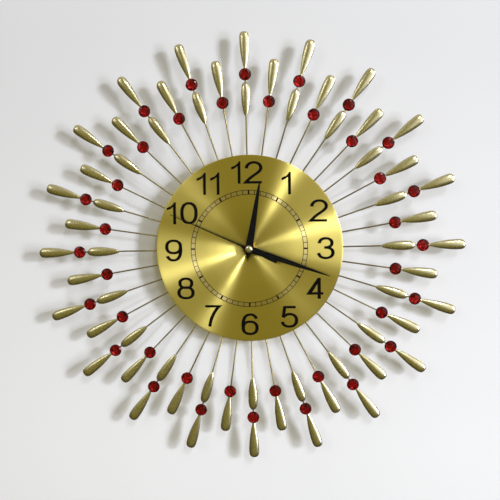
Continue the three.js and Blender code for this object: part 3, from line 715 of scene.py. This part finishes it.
# Digits are pen strokes in a box from -1 to 1 across and 0 to 1 up. A stroke is a start point
# followed by straight runs (one point) and curves (two handles and an end point).
DIGITS = {
    "2": [[(-1.0, 0.70), ((-1.0, 0.88), (-0.55, 1.0), (0.03, 1.0)),
           ((0.60, 1.0), (1.02, 0.89), (1.02, 0.72)), ((1.02, 0.48), (-0.35, 0.36), (-1.08, 0.0)),
           ((1.14, 0.0),)]],
    "3": [[(-0.92, 0.75), ((-0.86, 0.91), (-0.5, 1.0), (-0.02, 1.0)),
           ((0.5, 1.0), (0.86, 0.91), (0.86, 0.765)), ((0.86, 0.61), (0.5, 0.535), (-0.22, 0.535))],
          [(-0.22, 0.535), ((0.56, 0.535), (1.0, 0.46), (1.0, 0.275)),
           ((1.0, 0.10), (0.55, 0.0), (-0.02, 0.0)), ((-0.56, 0.0), (-0.93, 0.09), (-1.0, 0.26))]],
    "4": [[(1.0, 0.235), ((-1.0, 0.235),), ((0.42, 1.0),)], [(0.42, 1.03), ((0.42, -0.04),)]],
    "5": [[(0.90, 1.0), ((-0.66, 1.0),), ((-0.88, 0.47),)],
          [(-0.88, 0.47), ((-0.62, 0.59), (-0.32, 0.64), (0.02, 0.64)),
           ((0.6, 0.64), (1.0, 0.53), (1.0, 0.325)), ((1.0, 0.12), (0.58, 0.0), (0.0, 0.0)),
           ((-0.56, 0.0), (-0.93, 0.08), (-1.0, 0.245))]],
    "6": [[(0.90, 0.78), ((0.82, 0.93), (0.48, 1.0), (0.08, 1.0)),
           ((-0.62, 1.0), (-0.98, 0.82), (-0.98, 0.42)), ((-0.98, 0.38), (-0.96, 0.33), (-0.93, 0.29))]],
    "7": [[(-1.0, 1.0), ((0.98, 1.0),), ((0.38, 0.76), (-0.22, 0.42), (-0.36, -0.05))]],
}
RINGS = {"0": [(0.0, 0.5, 1.0, 0.5)], "6": [(0.02, 0.315, 0.98, 0.315)],
         "8": [(0.0, 0.765, 0.84, 0.235), (0.0, 0.275, 1.0, 0.275)]}


def stroke_points(stroke, steps=12):
    """The points along a pen stroke."""
    found = [Vector(stroke[0])]
    for run in stroke[1:]:
        if len(run) == 1:
            found.append(Vector(run[0]))
            continue
        first = found[-1]
        one, two, end = (Vector(p) for p in run)
        for i in range(1, steps + 1):
            t = i / steps
            s = 1 - t
            found.append(first * s ** 3 + one * 3 * s * s * t + two * 3 * s * t * t + end * t ** 3)
    return found


def ring_points(center_x, center_y, half_width, half_height, steps=56, square=2.35):
    """The points round a digit's closed bowl, a little squarer than an ellipse."""
    found = []
    for i in range(steps):
        angle = 2 * math.pi * i / steps
        c, s = math.cos(angle), math.sin(angle)
        x = math.copysign(abs(c) ** (2 / square), c)
        y = math.copysign(abs(s) ** (2 / square), s)
        found.append(Vector((center_x + half_width * x, center_y + half_height * y)))
    return found


SHARPEST_CORNER = 0.35  # keeps a pen line's corner from running out to a spike


def ribbon(path, closed):
    """Points and faces of a pen line: upright strokes are STEM wide and level ones BAR."""
    scale = Vector(((NUMERAL_WIDTH - STEM) / 2, NUMERAL_HEIGHT - BAR))
    line = [Vector((p.x * scale.x, BAR / 2 + p.y * scale.y)) for p in path]
    count = len(line)
    rows = []
    for i, point in enumerate(line):
        before = line[i - 1] if i > 0 or closed else None
        after = line[(i + 1) % count] if i < count - 1 or closed else None
        directions = [d.normalized() for d in (
            point - before if before is not None else None,
            after - point if after is not None else None,
        ) if d is not None]
        normals = [Vector((-d.y, d.x)) for d in directions]
        middle = sum(normals, Vector((0, 0))).normalized()
        reach = 1 / max(SHARPEST_CORNER, middle.dot(normals[0]))
        offset = Vector((middle.x * STEM / 2, middle.y * BAR / 2)) * reach
        rows.append((point + offset, point - offset))
    points = [(p.x, p.y, d) for pair in rows for p in pair for d in (DIAL_FRONT, PRINT_FRONT)]
    faces = []
    spans = count if closed else count - 1
    for i in range(spans):
        a, b = 4 * i, 4 * ((i + 1) % count)
        faces += [(a, a + 2, b + 2, b), (a + 1, b + 1, b + 3, a + 3),
                  (a, b, b + 1, a + 1), (a + 2, a + 3, b + 3, b + 2)]
    if not closed:
        last = 4 * (count - 1)
        faces += [(0, 1, 3, 2), (last, last + 2, last + 3, last + 1)]
    return points, faces


ONE_WIDTH = 13.0


def figure_one():
    """Outline of the figure 1: a stem with a curved flag."""
    top = NUMERAL_HEIGHT
    return [(2.5, 0), (6.5, 0), (6.5, top), (4.2, top), (2.5, top - 2.8), (-0.5, top - 5.4),
            (-6.5, top - 8.0), (-6.5, top - 11.4), (-2.0, top - 9.8), (2.5, top - 6.8)]


def digit(character, name):
    """A printed digit standing on y = 0, centred on x = 0, and its width."""
    if character == "1":
        figure = extruded(figure_one(), DIAL_FRONT, PRINT_FRONT)
        return build(name, *figure, "dial_print", 30), ONE_WIDTH
    turned_over = character == "9"
    source = "6" if turned_over else character
    lines = [(stroke_points(s), False) for s in DIGITS.get(source, [])]
    lines += [(ring_points(*r), True) for r in RINGS.get(source, [])]
    parts = []
    for path, closed in lines:
        if turned_over:
            path = [Vector((-p.x, 1 - p.y)) for p in path]
        parts.append(build(name, *ribbon(path, closed), "dial_print", 30))
    return fused(parts), NUMERAL_WIDTH


def numerals():
    """The twelve printed numerals, each one piece."""
    for hour in range(1, 13):
        outward, around = NUMERAL_SHIFTS.get(hour, (0, 0))
        angle = math.radians(30 * hour + around)
        radius = NUMERAL_RADIUS + outward
        center = Vector((radius * math.sin(angle), radius * math.cos(angle)))
        made = [digit(character, f"numeral_{hour:02d}") for character in str(hour)]
        total = sum(width for _, width in made) + DIGIT_GAP * (len(made) - 1)
        left = center.x - total / 2
        for piece, width in made:
            shift = place(left + width / 2, center.y - NUMERAL_HEIGHT / 2, 0)
            for vertex in piece.data.vertices:
                vertex.co += shift
            left += width + DIGIT_GAP
        whole = fused([piece for piece, _ in made])
        whole.name = f"numeral_{hour:02d}"
        settle(whole, "root", "dial_print")


# ---------------------------------------------------------------- hub plate and nut


def hub_plate():
    """Pressed steel disc with a rolled rim and a raised middle."""
    rim = PLATE_RADIUS
    front = PLATE_BACK + PLATE_THICKNESS
    profile = [(BUSH_HOLE, PLATE_BACK), (30, PLATE_BACK), (31, PLATE_BACK + 0.25),
               (58, PLATE_BACK + 0.25), (59, PLATE_BACK), (rim - 0.5, PLATE_BACK)]
    roll = PLATE_THICKNESS / 2
    profile += arc((rim - roll, PLATE_BACK + roll), roll, -80, 80, 8)
    profile += [(60, front), (57, front), (30, front), (15.5, front), (14.2, front + 0.4),
                (13.4, BOSS_FRONT - 0.4), (12.4, BOSS_FRONT), (BUSH_HOLE, BOSS_FRONT)]
    return build("hub_disc", *turned(profile, 160), "hub_steel", 40)


BEAD_INSETS = (3.0, 20.0)  # from the edge of the hub plate
BEAD_LENGTH = 2.6  # from its middle, like its width
BEAD_WIDTH = 1.9
BEAD_HEIGHT = 1.7
BEAD_ROWS = 5
BEAD_SIDES = 12


def bead(angle, distance):
    """Points and faces of a domed bead of weld on the hub plate's face."""
    rings = []
    for row in range(BEAD_ROWS + 1):
        rise = math.pi / 2 * row / BEAD_ROWS
        spread = max(math.cos(rise), 0.02)
        depth = PLATE_BACK + PLATE_THICKNESS + BEAD_HEIGHT * math.sin(rise)
        ring = []
        for side in range(BEAD_SIDES):
            turn = 2 * math.pi * side / BEAD_SIDES
            outwards = distance + BEAD_LENGTH * spread * math.cos(turn)
            sideways = BEAD_WIDTH * spread * math.sin(turn)
            ring.append((*swung(outwards, sideways, -angle), depth))
        rings.append(ring)
    return loft(rings)


def weld_beads():
    """Two beads on each wire, where it lies on the hub plate."""
    beads = [
        bead(math.radians(RAY_TURN + 90 + 180 * i / RAY_PAIRS), PLATE_RADIUS - inset)
        for i in range(2 * RAY_PAIRS)
        for inset in BEAD_INSETS
    ]
    return build("weld_beads", *joined(beads), "hub_steel", 60)


NUT_CORNER = 6.35  # from the axis


def bush_nut():
    """Hexagon nut, its corners rounded off, on the threaded bush."""
    back, front = depths("bush_nut")
    corners = arc((0, 0), NUT_CORNER, 0, 300, 5)
    nut = build("hexagon_nut", *extruded(corners, back, front), "brass")
    drill(nut, BUSH / 2 + 0.15, back, front, 48, "brass")
    soften(nut, 0.35)
    return nut


# ---------------------------------------------------------------- hands

BLADE = 0.7
BOSS = 1.2
HOUR_STATIONS = [(-14, 0.5), (-4, 4.6), (6, 5.2), (56, 3.1), (79, 2.1), (92, 1.0), (94, 0.4)]
MINUTE_STATIONS = [(-11, 0.5), (-3, 4.0), (6, 4.5), (70, 2.8), (119, 0.3)]
SECOND_STATIONS = [(-43, 3.3), (-27, 3.0), (-12, 0.9), (20, 0.8), (120, 0.35)]
HOUR_BOSS = 7.0
HOUR_BORE = 2.7
MINUTE_BOSS = 6.2
MINUTE_BORE = 1.7
CAP_RADIUS = 5.0
CAP_SKIRT = 0.35


def mirrored(stations):
    """Outline of a blade from its (distance, half width) stations."""
    right = [(half, along) for along, half in stations]
    return right + [(-x, y) for x, y in reversed(right)]


def hand(name, stations, rim, node, bore):
    """A blade along +y with a round boss and a hole."""
    back = depths(node)[0]
    blade = build(name, *extruded(mirrored(stations), back, back + BLADE), "black_hand")
    profile = [(bore, back), (rim - 0.1, back), (rim, back + 0.15), (rim, back + BOSS - 0.35),
               (rim - 0.35, back + BOSS), (bore, back + BOSS)]
    boss = build("boss", *turned(profile, 72), "black_hand")
    drill(blade, bore, back, back + BLADE, 72, "black_hand")
    boolean(blade, boss, "UNION")
    soften(blade, 0.12, 50)
    return blade


def hands():
    """The three hands at their angles at rest, and the cap on the axis."""
    hour = hand("hour_blade", HOUR_STATIONS, HOUR_BOSS, "hour_hand", HOUR_BORE)
    turn_clockwise(hour, HOUR_ANGLE)
    settle(hour, "hour_train", "black_hand", "hour_hand")
    minute = hand("minute_blade", MINUTE_STATIONS, MINUTE_BOSS, "minute_hand", MINUTE_BORE)
    turn_clockwise(minute, MINUTE_ANGLE)
    settle(minute, "minute_train", "black_hand", "minute_hand")
    back, front = depths("second_hand")
    needle_front = back + BLADE
    outline = mirrored(SECOND_STATIONS)
    needle = build("second_needle", *extruded(outline, back, needle_front), "black_hand")
    soften(needle, 0.1, 50)
    turn_clockwise(needle, SECOND_ANGLE)
    settle(needle, "second_train", "black_hand", "second_hand")
    skirt = needle_front + CAP_SKIRT
    dome = [(0.02, needle_front), (CAP_RADIUS, needle_front), (CAP_RADIUS, skirt)]
    for degrees in range(12, 85, 12):
        angle = math.radians(degrees)
        dome.append((CAP_RADIUS * math.cos(angle), skirt + (front - skirt) * math.sin(angle)))
    dome.append((0.02, front))
    cap = build("hand_cap", *turned(dome, 64), "cap_metal", 50)
    settle(cap, "second_train", "cap_metal")


# ---------------------------------------------------------------- movement


def refined(node, name, slot, width):
    """A copy of a CAD node with flat faces merged and edges rounded."""
    mesh = frame["nodes"][node].data.copy()
    made = show(name, mesh)
    work = bmesh.new()
    work.from_mesh(mesh)
    bmesh.ops.remove_doubles(work, verts=work.verts, dist=1e-6)
    bmesh.ops.dissolve_limit(work, angle_limit=math.radians(1), verts=work.verts, edges=work.edges)
    bmesh.ops.recalc_face_normals(work, faces=work.faces)
    work.to_mesh(mesh)
    work.free()
    mesh.materials.clear()
    mesh.materials.append(MATERIALS[slot])
    soften(made, width, 45)
    return made


def inner_wheels():
    """The CAD nodes that nothing replaces stay, with their own materials."""
    slots = {entry["node"]: entry["material_slot"] for entry in frame["record"]["subparts"]}
    for name, node in frame["nodes"].items():
        if not node.hide_render:
            node.data.materials.clear()
            node.data.materials.append(MATERIALS[slots[name]])


def middle_of(node):
    """Middle of a CAD node's box as (x, y, d) in millimetres."""
    low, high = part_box(node)
    middle = (low + high) / 2 / MM
    return middle.x, middle.z, -middle.y


def carve(piece, outlines, depth):
    """Sinks flat marks into the back face of a piece that lies against the wall."""
    for outline in outlines:
        mark = build("mark", *extruded(outline, -REACH, depth), "case_plastic")
        boolean(piece, mark, "DIFFERENCE")
    even_shading(piece)


MARK_DEPTH = 0.3
MARK_LINE = 0.9
MARK_SIZE = 4.0
MARK_MARGIN = 1.2  # above the cover's lower edge
MARK_SPREAD = 20.0  # from the middle of the battery
ARROW_INNER = 7.4
ARROW_OUTER = 8.3
ARROW_ENDS = (50, 130)
HEAD_REACH = 14  # degrees
HEAD_WIDTH = 1.3  # to each side


def polarity_marks():
    """A plus and a minus beside the ends of the battery."""
    middle = middle_of("battery")[0]
    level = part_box("movement_cover")[0].z / MM + MARK_MARGIN + MARK_SIZE / 2
    half = MARK_SIZE / 2
    arm = MARK_LINE / 2
    cross = [(-half, -arm), (-arm, -arm), (-arm, -half), (arm, -half), (arm, -arm), (half, -arm),
             (half, arm), (arm, arm), (arm, half), (-arm, half), (-arm, arm), (-half, arm)]
    plus = [(middle + MARK_SPREAD + u, level + v) for u, v in cross]
    return [plus, bar(middle - MARK_SPREAD, level, MARK_SIZE, MARK_LINE)]


def setting_arrow():
    """A bent double arrow round the setting knob."""
    x, y, _ = middle_of("setting_knob")
    start, end = ARROW_ENDS
    outer = arc((x, y), ARROW_OUTER, start, end, 14)
    marks = [outer + arc((x, y), ARROW_INNER, end, start, 14)]
    line = (ARROW_INNER + ARROW_OUTER) / 2
    for base, way in ((start, -1), (end, 1)):
        corners = ((HEAD_REACH, line), (-1, line + HEAD_WIDTH), (-1, line - HEAD_WIDTH))
        marks.append([
            (x + r * math.cos(math.radians(base + way * ahead)),
             y + r * math.sin(math.radians(base + way * ahead)))
            for ahead, r in corners
        ])
    return marks


HOOK_OUTLINE = [(-0.2, 2.0), (0.15, 2.0), (0.9, 3.4), (0.9, 3.9), (-0.2, 5.4)]  # outwards, depth
HOOK_LENGTH = 5.0
HOOK_PLACES = (-6.0, 16.0)


def snap_hooks():
    """Four sloped hooks on the case's sides that hold the cover on."""
    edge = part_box("movement_case")[1].x / MM
    hooks = [
        loft([[(side * (edge + out), y, d) for out, d in HOOK_OUTLINE] for y in (low, low + HOOK_LENGTH)])
        for side in (-1, 1)
        for low in HOOK_PLACES
    ]
    return build("snap_hooks", *joined(hooks), "case_plastic")


KNOB_RIBS = 32
RIB_HEIGHT = 0.022  # as a share of the radius
RIM_START = 4.9


def knob_grip():
    """The knob's ribbed rim and dished back, with a bar across it to turn it by."""
    x, y, _ = middle_of("setting_knob")

    def ribs(angle, radius):
        return 1 + RIB_HEIGHT * math.cos(KNOB_RIBS * angle) if radius > RIM_START else 1.0

    profile = [(4.6, 1.95), (5.05, 1.95), (5.08, 0.5), (4.85, 0.1), (4.3, 0.08), (3.9, 0.26),
               (0.02, 0.26), (0.02, 0.34), (4.6, 0.34)]
    points, faces = turned(profile, 192, ribs)
    grip = build("knob_grip", [(px + x, py + y, d) for px, py, d in points], faces, "knob_plastic")
    blade = build("blade", *extruded(bar(x, y, 7.4, 1.3), 0.08, 0.3), "knob_plastic")
    boolean(grip, blade, "UNION")
    even_shading(grip)
    return grip


CELL_ANGLES = [2 * math.pi * i / 64 for i in range(64)]


def battery_cell():
    """AA cell: sleeved body, crimped steel ends and the nub on its positive end."""
    low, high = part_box("battery")
    _, y, depth = middle_of("battery")
    left, right = low.x / MM, high.x / MM
    radius = (high.z - low.z) / 2 / MM
    body = right - 1.0
    profile = [
        (left + 0.35, 0.02), (left + 0.35, 3.4), (left, 4.1), (left, radius - 1.0),
        (left + 0.25, radius - 0.4), (left + 0.8, radius - 0.08), (left + 0.9, radius),
        (body - 0.9, radius), (body - 0.5, radius - 0.25), (body - 0.2, radius - 0.9),
        (body - 0.5, radius - 1.5), (body - 0.2, 3.4), (body - 0.1, 2.7),
        (right - 0.2, 2.6), (right, 2.3), (right, 0.02),
    ]
    rings = [
        [(x, y + r * math.cos(angle), depth + r * math.sin(angle)) for angle in CELL_ANGLES]
        for x, r in profile
    ]
    cell = build("battery_cell", *loft(rings), "cell_wrap", 30)
    cell.data.materials.append(MATERIALS["cell_steel"])
    sleeve_start, sleeve_end = left + 0.85, body - 0.6
    for face in cell.data.polygons:
        if not sleeve_start < face.center.x / MM < sleeve_end:
            face.material_index = 1
    return cell


def wire_tube(name, path, radius, slot, sides=10):
    """A round wire along a list of (x, y, d) points."""
    line = [Vector(p) for p in path]
    rings = []
    normal = Vector((0, 0, 1))
    for i, point in enumerate(line):
        ahead = (line[min(i + 1, len(line) - 1)] - line[max(i - 1, 0)]).normalized()
        normal = (normal - ahead * normal.dot(ahead)).normalized()
        across = ahead.cross(normal)
        ring = []
        for side in range(sides):
            angle = 2 * math.pi * side / sides
            ring.append(point + (normal * math.cos(angle) + across * math.sin(angle)) * radius)
        rings.append(ring)
    return build(name, *loft(rings), slot, 60)


COIL_TURNS = 3
COIL_STEPS = 24
COIL_BASE = 4.6
COIL_TAPER = 2.8
CONTACT_METAL = 0.3


def contacts():
    """The coiled contact on the battery's flat end and the bent plate on its nub."""
    low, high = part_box("battery")
    _, y, depth = middle_of("battery")
    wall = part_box("movement_case")[1].x / MM - CASE_WALL
    start = -wall + 0.35
    length = low.x / MM + 0.05 - start
    coil = []
    for i in range(COIL_TURNS * COIL_STEPS + 1):
        share = i / (COIL_TURNS * COIL_STEPS)
        angle = 2 * math.pi * i / COIL_STEPS
        r = COIL_BASE - COIL_TAPER * share
        coil.append((start + length * share, y + r * math.sin(angle), depth - r * math.cos(angle)))
    lead = [(start, y, depth - 5.6), (start, y + 0.2, depth - 5.0)]
    spring = wire_tube("contact_spring", lead + coil, CONTACT_METAL, "cell_steel")
    settle(spring, "root", "cap_metal")
    touch = high.x / MM + CONTACT_METAL
    outer = [(wall - 0.05, y - 6), (wall - 0.1, y - 3.4), (touch, y - 1.4), (touch, y + 1.4),
             (wall - 0.1, y + 3.4), (wall - 0.05, y + 6)]
    outline = outer + [(px - CONTACT_METAL, py) for px, py in reversed(outer)]
    plate = build("contact_plate", *extruded(outline, depth - 5, depth + 4), "cell_steel")
    settle(plate, "root", "cap_metal")


RUBBER_WASHER = 9.5
NUT_WASHER = 7.2


def washers():
    """Rubber washer behind the hub plate, and a brass one under the nut."""
    case_front = depths("movement_case")[0] + CASE_DEPTH
    nut_back = depths("bush_nut")[0]
    for name, low, high, rim, slot, shown in (
        ("rubber_washer", case_front, PLATE_BACK, RUBBER_WASHER, "case_plastic", "rubber"),
        ("nut_washer", DIAL_FRONT, nut_back, NUT_WASHER, "brass", "brass"),
    ):
        back, front = low + FIT, high - FIT
        profile = [(BUSH_HOLE, back), (rim - 0.05, back), (rim, back + 0.08), (rim, front - 0.08),
                   (rim - 0.05, front), (BUSH_HOLE, front)]
        settle(build(name, *turned(profile, 72), shown), "root", slot)


def movement():
    """The quartz movement's case and what is on it, seen only from behind."""
    case = refined("movement_case", "case_shell", "case_plastic", 0.35)
    settle(case, "root", "case_plastic", "movement_case")
    cover = refined("movement_cover", "case_cover", "case_plastic", 0.25)
    carve(cover, polarity_marks() + setting_arrow(), MARK_DEPTH)
    settle(cover, "root", "case_plastic", "movement_cover")
    settle(snap_hooks(), "root", "case_plastic")
    settle(battery_cell(), "root", "cell_wrap", "battery")
    contacts()
    settle(knob_grip(), "knob", "knob_plastic")
    washers()


rays()
settle(dial_disc(), "root", "brushed_gold", "dial")
settle(minute_track(), "root", "dial_print")
numerals()
settle(hub_plate(), "root", "hub_steel", "hub_plate")
settle(weld_beads(), "root", "hub_steel")
settle(bush_nut(), "root", "brass", "bush_nut")
hands()
movement()
inner_wheels()


# ---------------------------------------------------------------- studio

WALL_HALF = 0.8
WALL_GAP = 0.0006
WALL_PAINTED_SHADE_TONES = (0.925, 0.785)  # low down and high up, the higher one darker as painted shade
FLOOR_DROP = 0.75
FLOOR_HALF = 1.8
FLOOR_TONES = (0.48, 0.48)
DAYLIGHT = (0.91, 0.94, 1.0)


def backdrop():
    """A pale wall just behind the clock and a pale floor below it, which only the camera sees."""
    upright = rectangle(-WALL_HALF, -FLOOR_DROP, WALL_HALF, WALL_HALF)
    wall = [(x, WALL_GAP, z) for x, z in upright]
    level = rectangle(-FLOOR_HALF, -FLOOR_HALF, FLOOR_HALF, FLOOR_HALF)
    floor = [(x, y, -FLOOR_DROP) for x, y in level]
    for name, tones, corners in (("wall", WALL_PAINTED_SHADE_TONES, wall), ("floor", FLOOR_TONES, floor)):
        mesh = bpy.data.meshes.new(name)
        mesh.from_pydata(corners, [], [(0, 1, 2, 3)])
        mesh.materials.append(pale_paint(f"{name}_paint", *tones))
        made = show(name, mesh)
        made.visible_glossy = made.visible_diffuse = made.visible_shadow = False


def lamp(name, clock_angle, tilt, distance, size, energy, color=DAYLIGHT):
    """An area light at an angle clockwise from twelve, tilted away from straight out of the dial.

    Its size is its width across that angle and its length outwards.
    """
    around, away = math.radians(clock_angle), math.radians(tilt)
    outward = Vector((math.sin(around), 0, math.cos(around)))
    direction = outward * math.sin(away) - Vector((0, math.cos(away), 0))
    length = (outward - direction * outward.dot(direction)).normalized()
    width = length.cross(direction)
    light = bpy.data.lights.new(name, "AREA")
    light.shape = "RECTANGLE"
    light.size, light.size_y = size
    light.energy = energy
    light.color = color
    made = show(name, light)
    made.location = direction * distance
    made.rotation_mode = "QUATERNION"
    made.rotation_quaternion = Matrix((width, length, direction)).transposed().to_quaternion()
    made.visible_camera = False


def room():
    """Light from all round, dimmer and yellower where the clock's polished faces look."""
    world = bpy.data.worlds.new("room")
    world.use_nodes = True
    tree = world.node_tree
    sky = tree.nodes["Background"]
    height = coordinate(tree, "Z", "Generated")
    depth = coordinate(tree, "Y", "Generated")
    aside = blend_colors(tree, height, (0.060, 0.051, 0.024), (0.46, 0.42, 0.29), -0.25, 0.85)
    back = blend_colors(tree, height, (0.20, 0.18, 0.13), (0.46, 0.44, 0.39), -0.6, 0.6)
    behind = blend_colors(tree, depth, aside, back, 0.0, 0.4)
    color = blend_colors(tree, depth, (0.245, 0.218, 0.055), behind, -0.98, -0.5)
    tree.links.new(color, sky.inputs["Color"])
    pale = tree.nodes.new("ShaderNodeBackground")
    pale.inputs["Color"].default_value = (0.80, 0.80, 0.80, 1)
    seen = tree.nodes.new("ShaderNodeLightPath")
    mix = tree.nodes.new("ShaderNodeMixShader")
    tree.links.new(seen.outputs["Is Camera Ray"], mix.inputs["Fac"])
    tree.links.new(sky.outputs["Background"], mix.inputs[1])
    tree.links.new(pale.outputs["Background"], mix.inputs[2])
    tree.links.new(mix.outputs["Shader"], tree.nodes["World Output"].inputs["Surface"])
    bpy.context.scene.world = world


LAMPS = [
    ("window", 76, 57, 6.0, (0.70, 0.75), 198),
    ("window_side", 93, 57, 6.0, (2.3, 0.9), 148),
    ("window_panel", 74, 34, 3.4, (2.3, 2.4), 14),
    ("strip", 29, 40, 6.0, (0.12, 1.6), 66),
    ("strip_left", 309, 40, 6.0, (0.10, 1.6), 7),
    ("ceiling", 350, 66, 5.6, (4.0, 2.2), 6),
    ("fill", 304, 40, 4.0, (1.5, 1.6), 9),
    ("behind_right", 60, 130, 3.0, (1.4, 1.4), 16, (1, 1, 1)),
    ("behind_left", 290, 125, 3.0, (1.2, 1.2), 8, (1, 1, 1)),
]


def studio():
    """Wall, floor, room light and lamps."""
    backdrop()
    room()
    for settings in LAMPS:
        lamp(*settings)
    bpy.context.scene.view_settings.view_transform = "Standard"


LENS = 50.0
CAMERA_DISTANCE = 0.977
CAMERA_AZIMUTH = 2.9
CAMERA_ELEVATION = 3.9
CAMERA_ROLL = -0.6
CAMERA_TARGET = (1.0, -2.0)


def camera():
    """The camera at the photo's angle, a little to the right of the clock and above it."""
    data = bpy.data.cameras.new("camera")
    data.lens = LENS
    made = show("camera", data)
    target = place(*CAMERA_TARGET, WIRE_DEPTH)
    lift, turn = math.radians(CAMERA_ELEVATION), math.radians(CAMERA_AZIMUTH)
    level_back = Vector((math.sin(turn), -math.cos(turn), 0)) * math.cos(lift)
    back = level_back + Vector((0, 0, math.sin(lift)))
    made.location = target + back * CAMERA_DISTANCE
    made.rotation_mode = "QUATERNION"
    upright = (-back).to_track_quat("-Z", "Y")
    made.rotation_quaternion = upright @ Quaternion((0, 0, 1), math.radians(CAMERA_ROLL))
    bpy.context.scene.camera = made


studio()
camera()
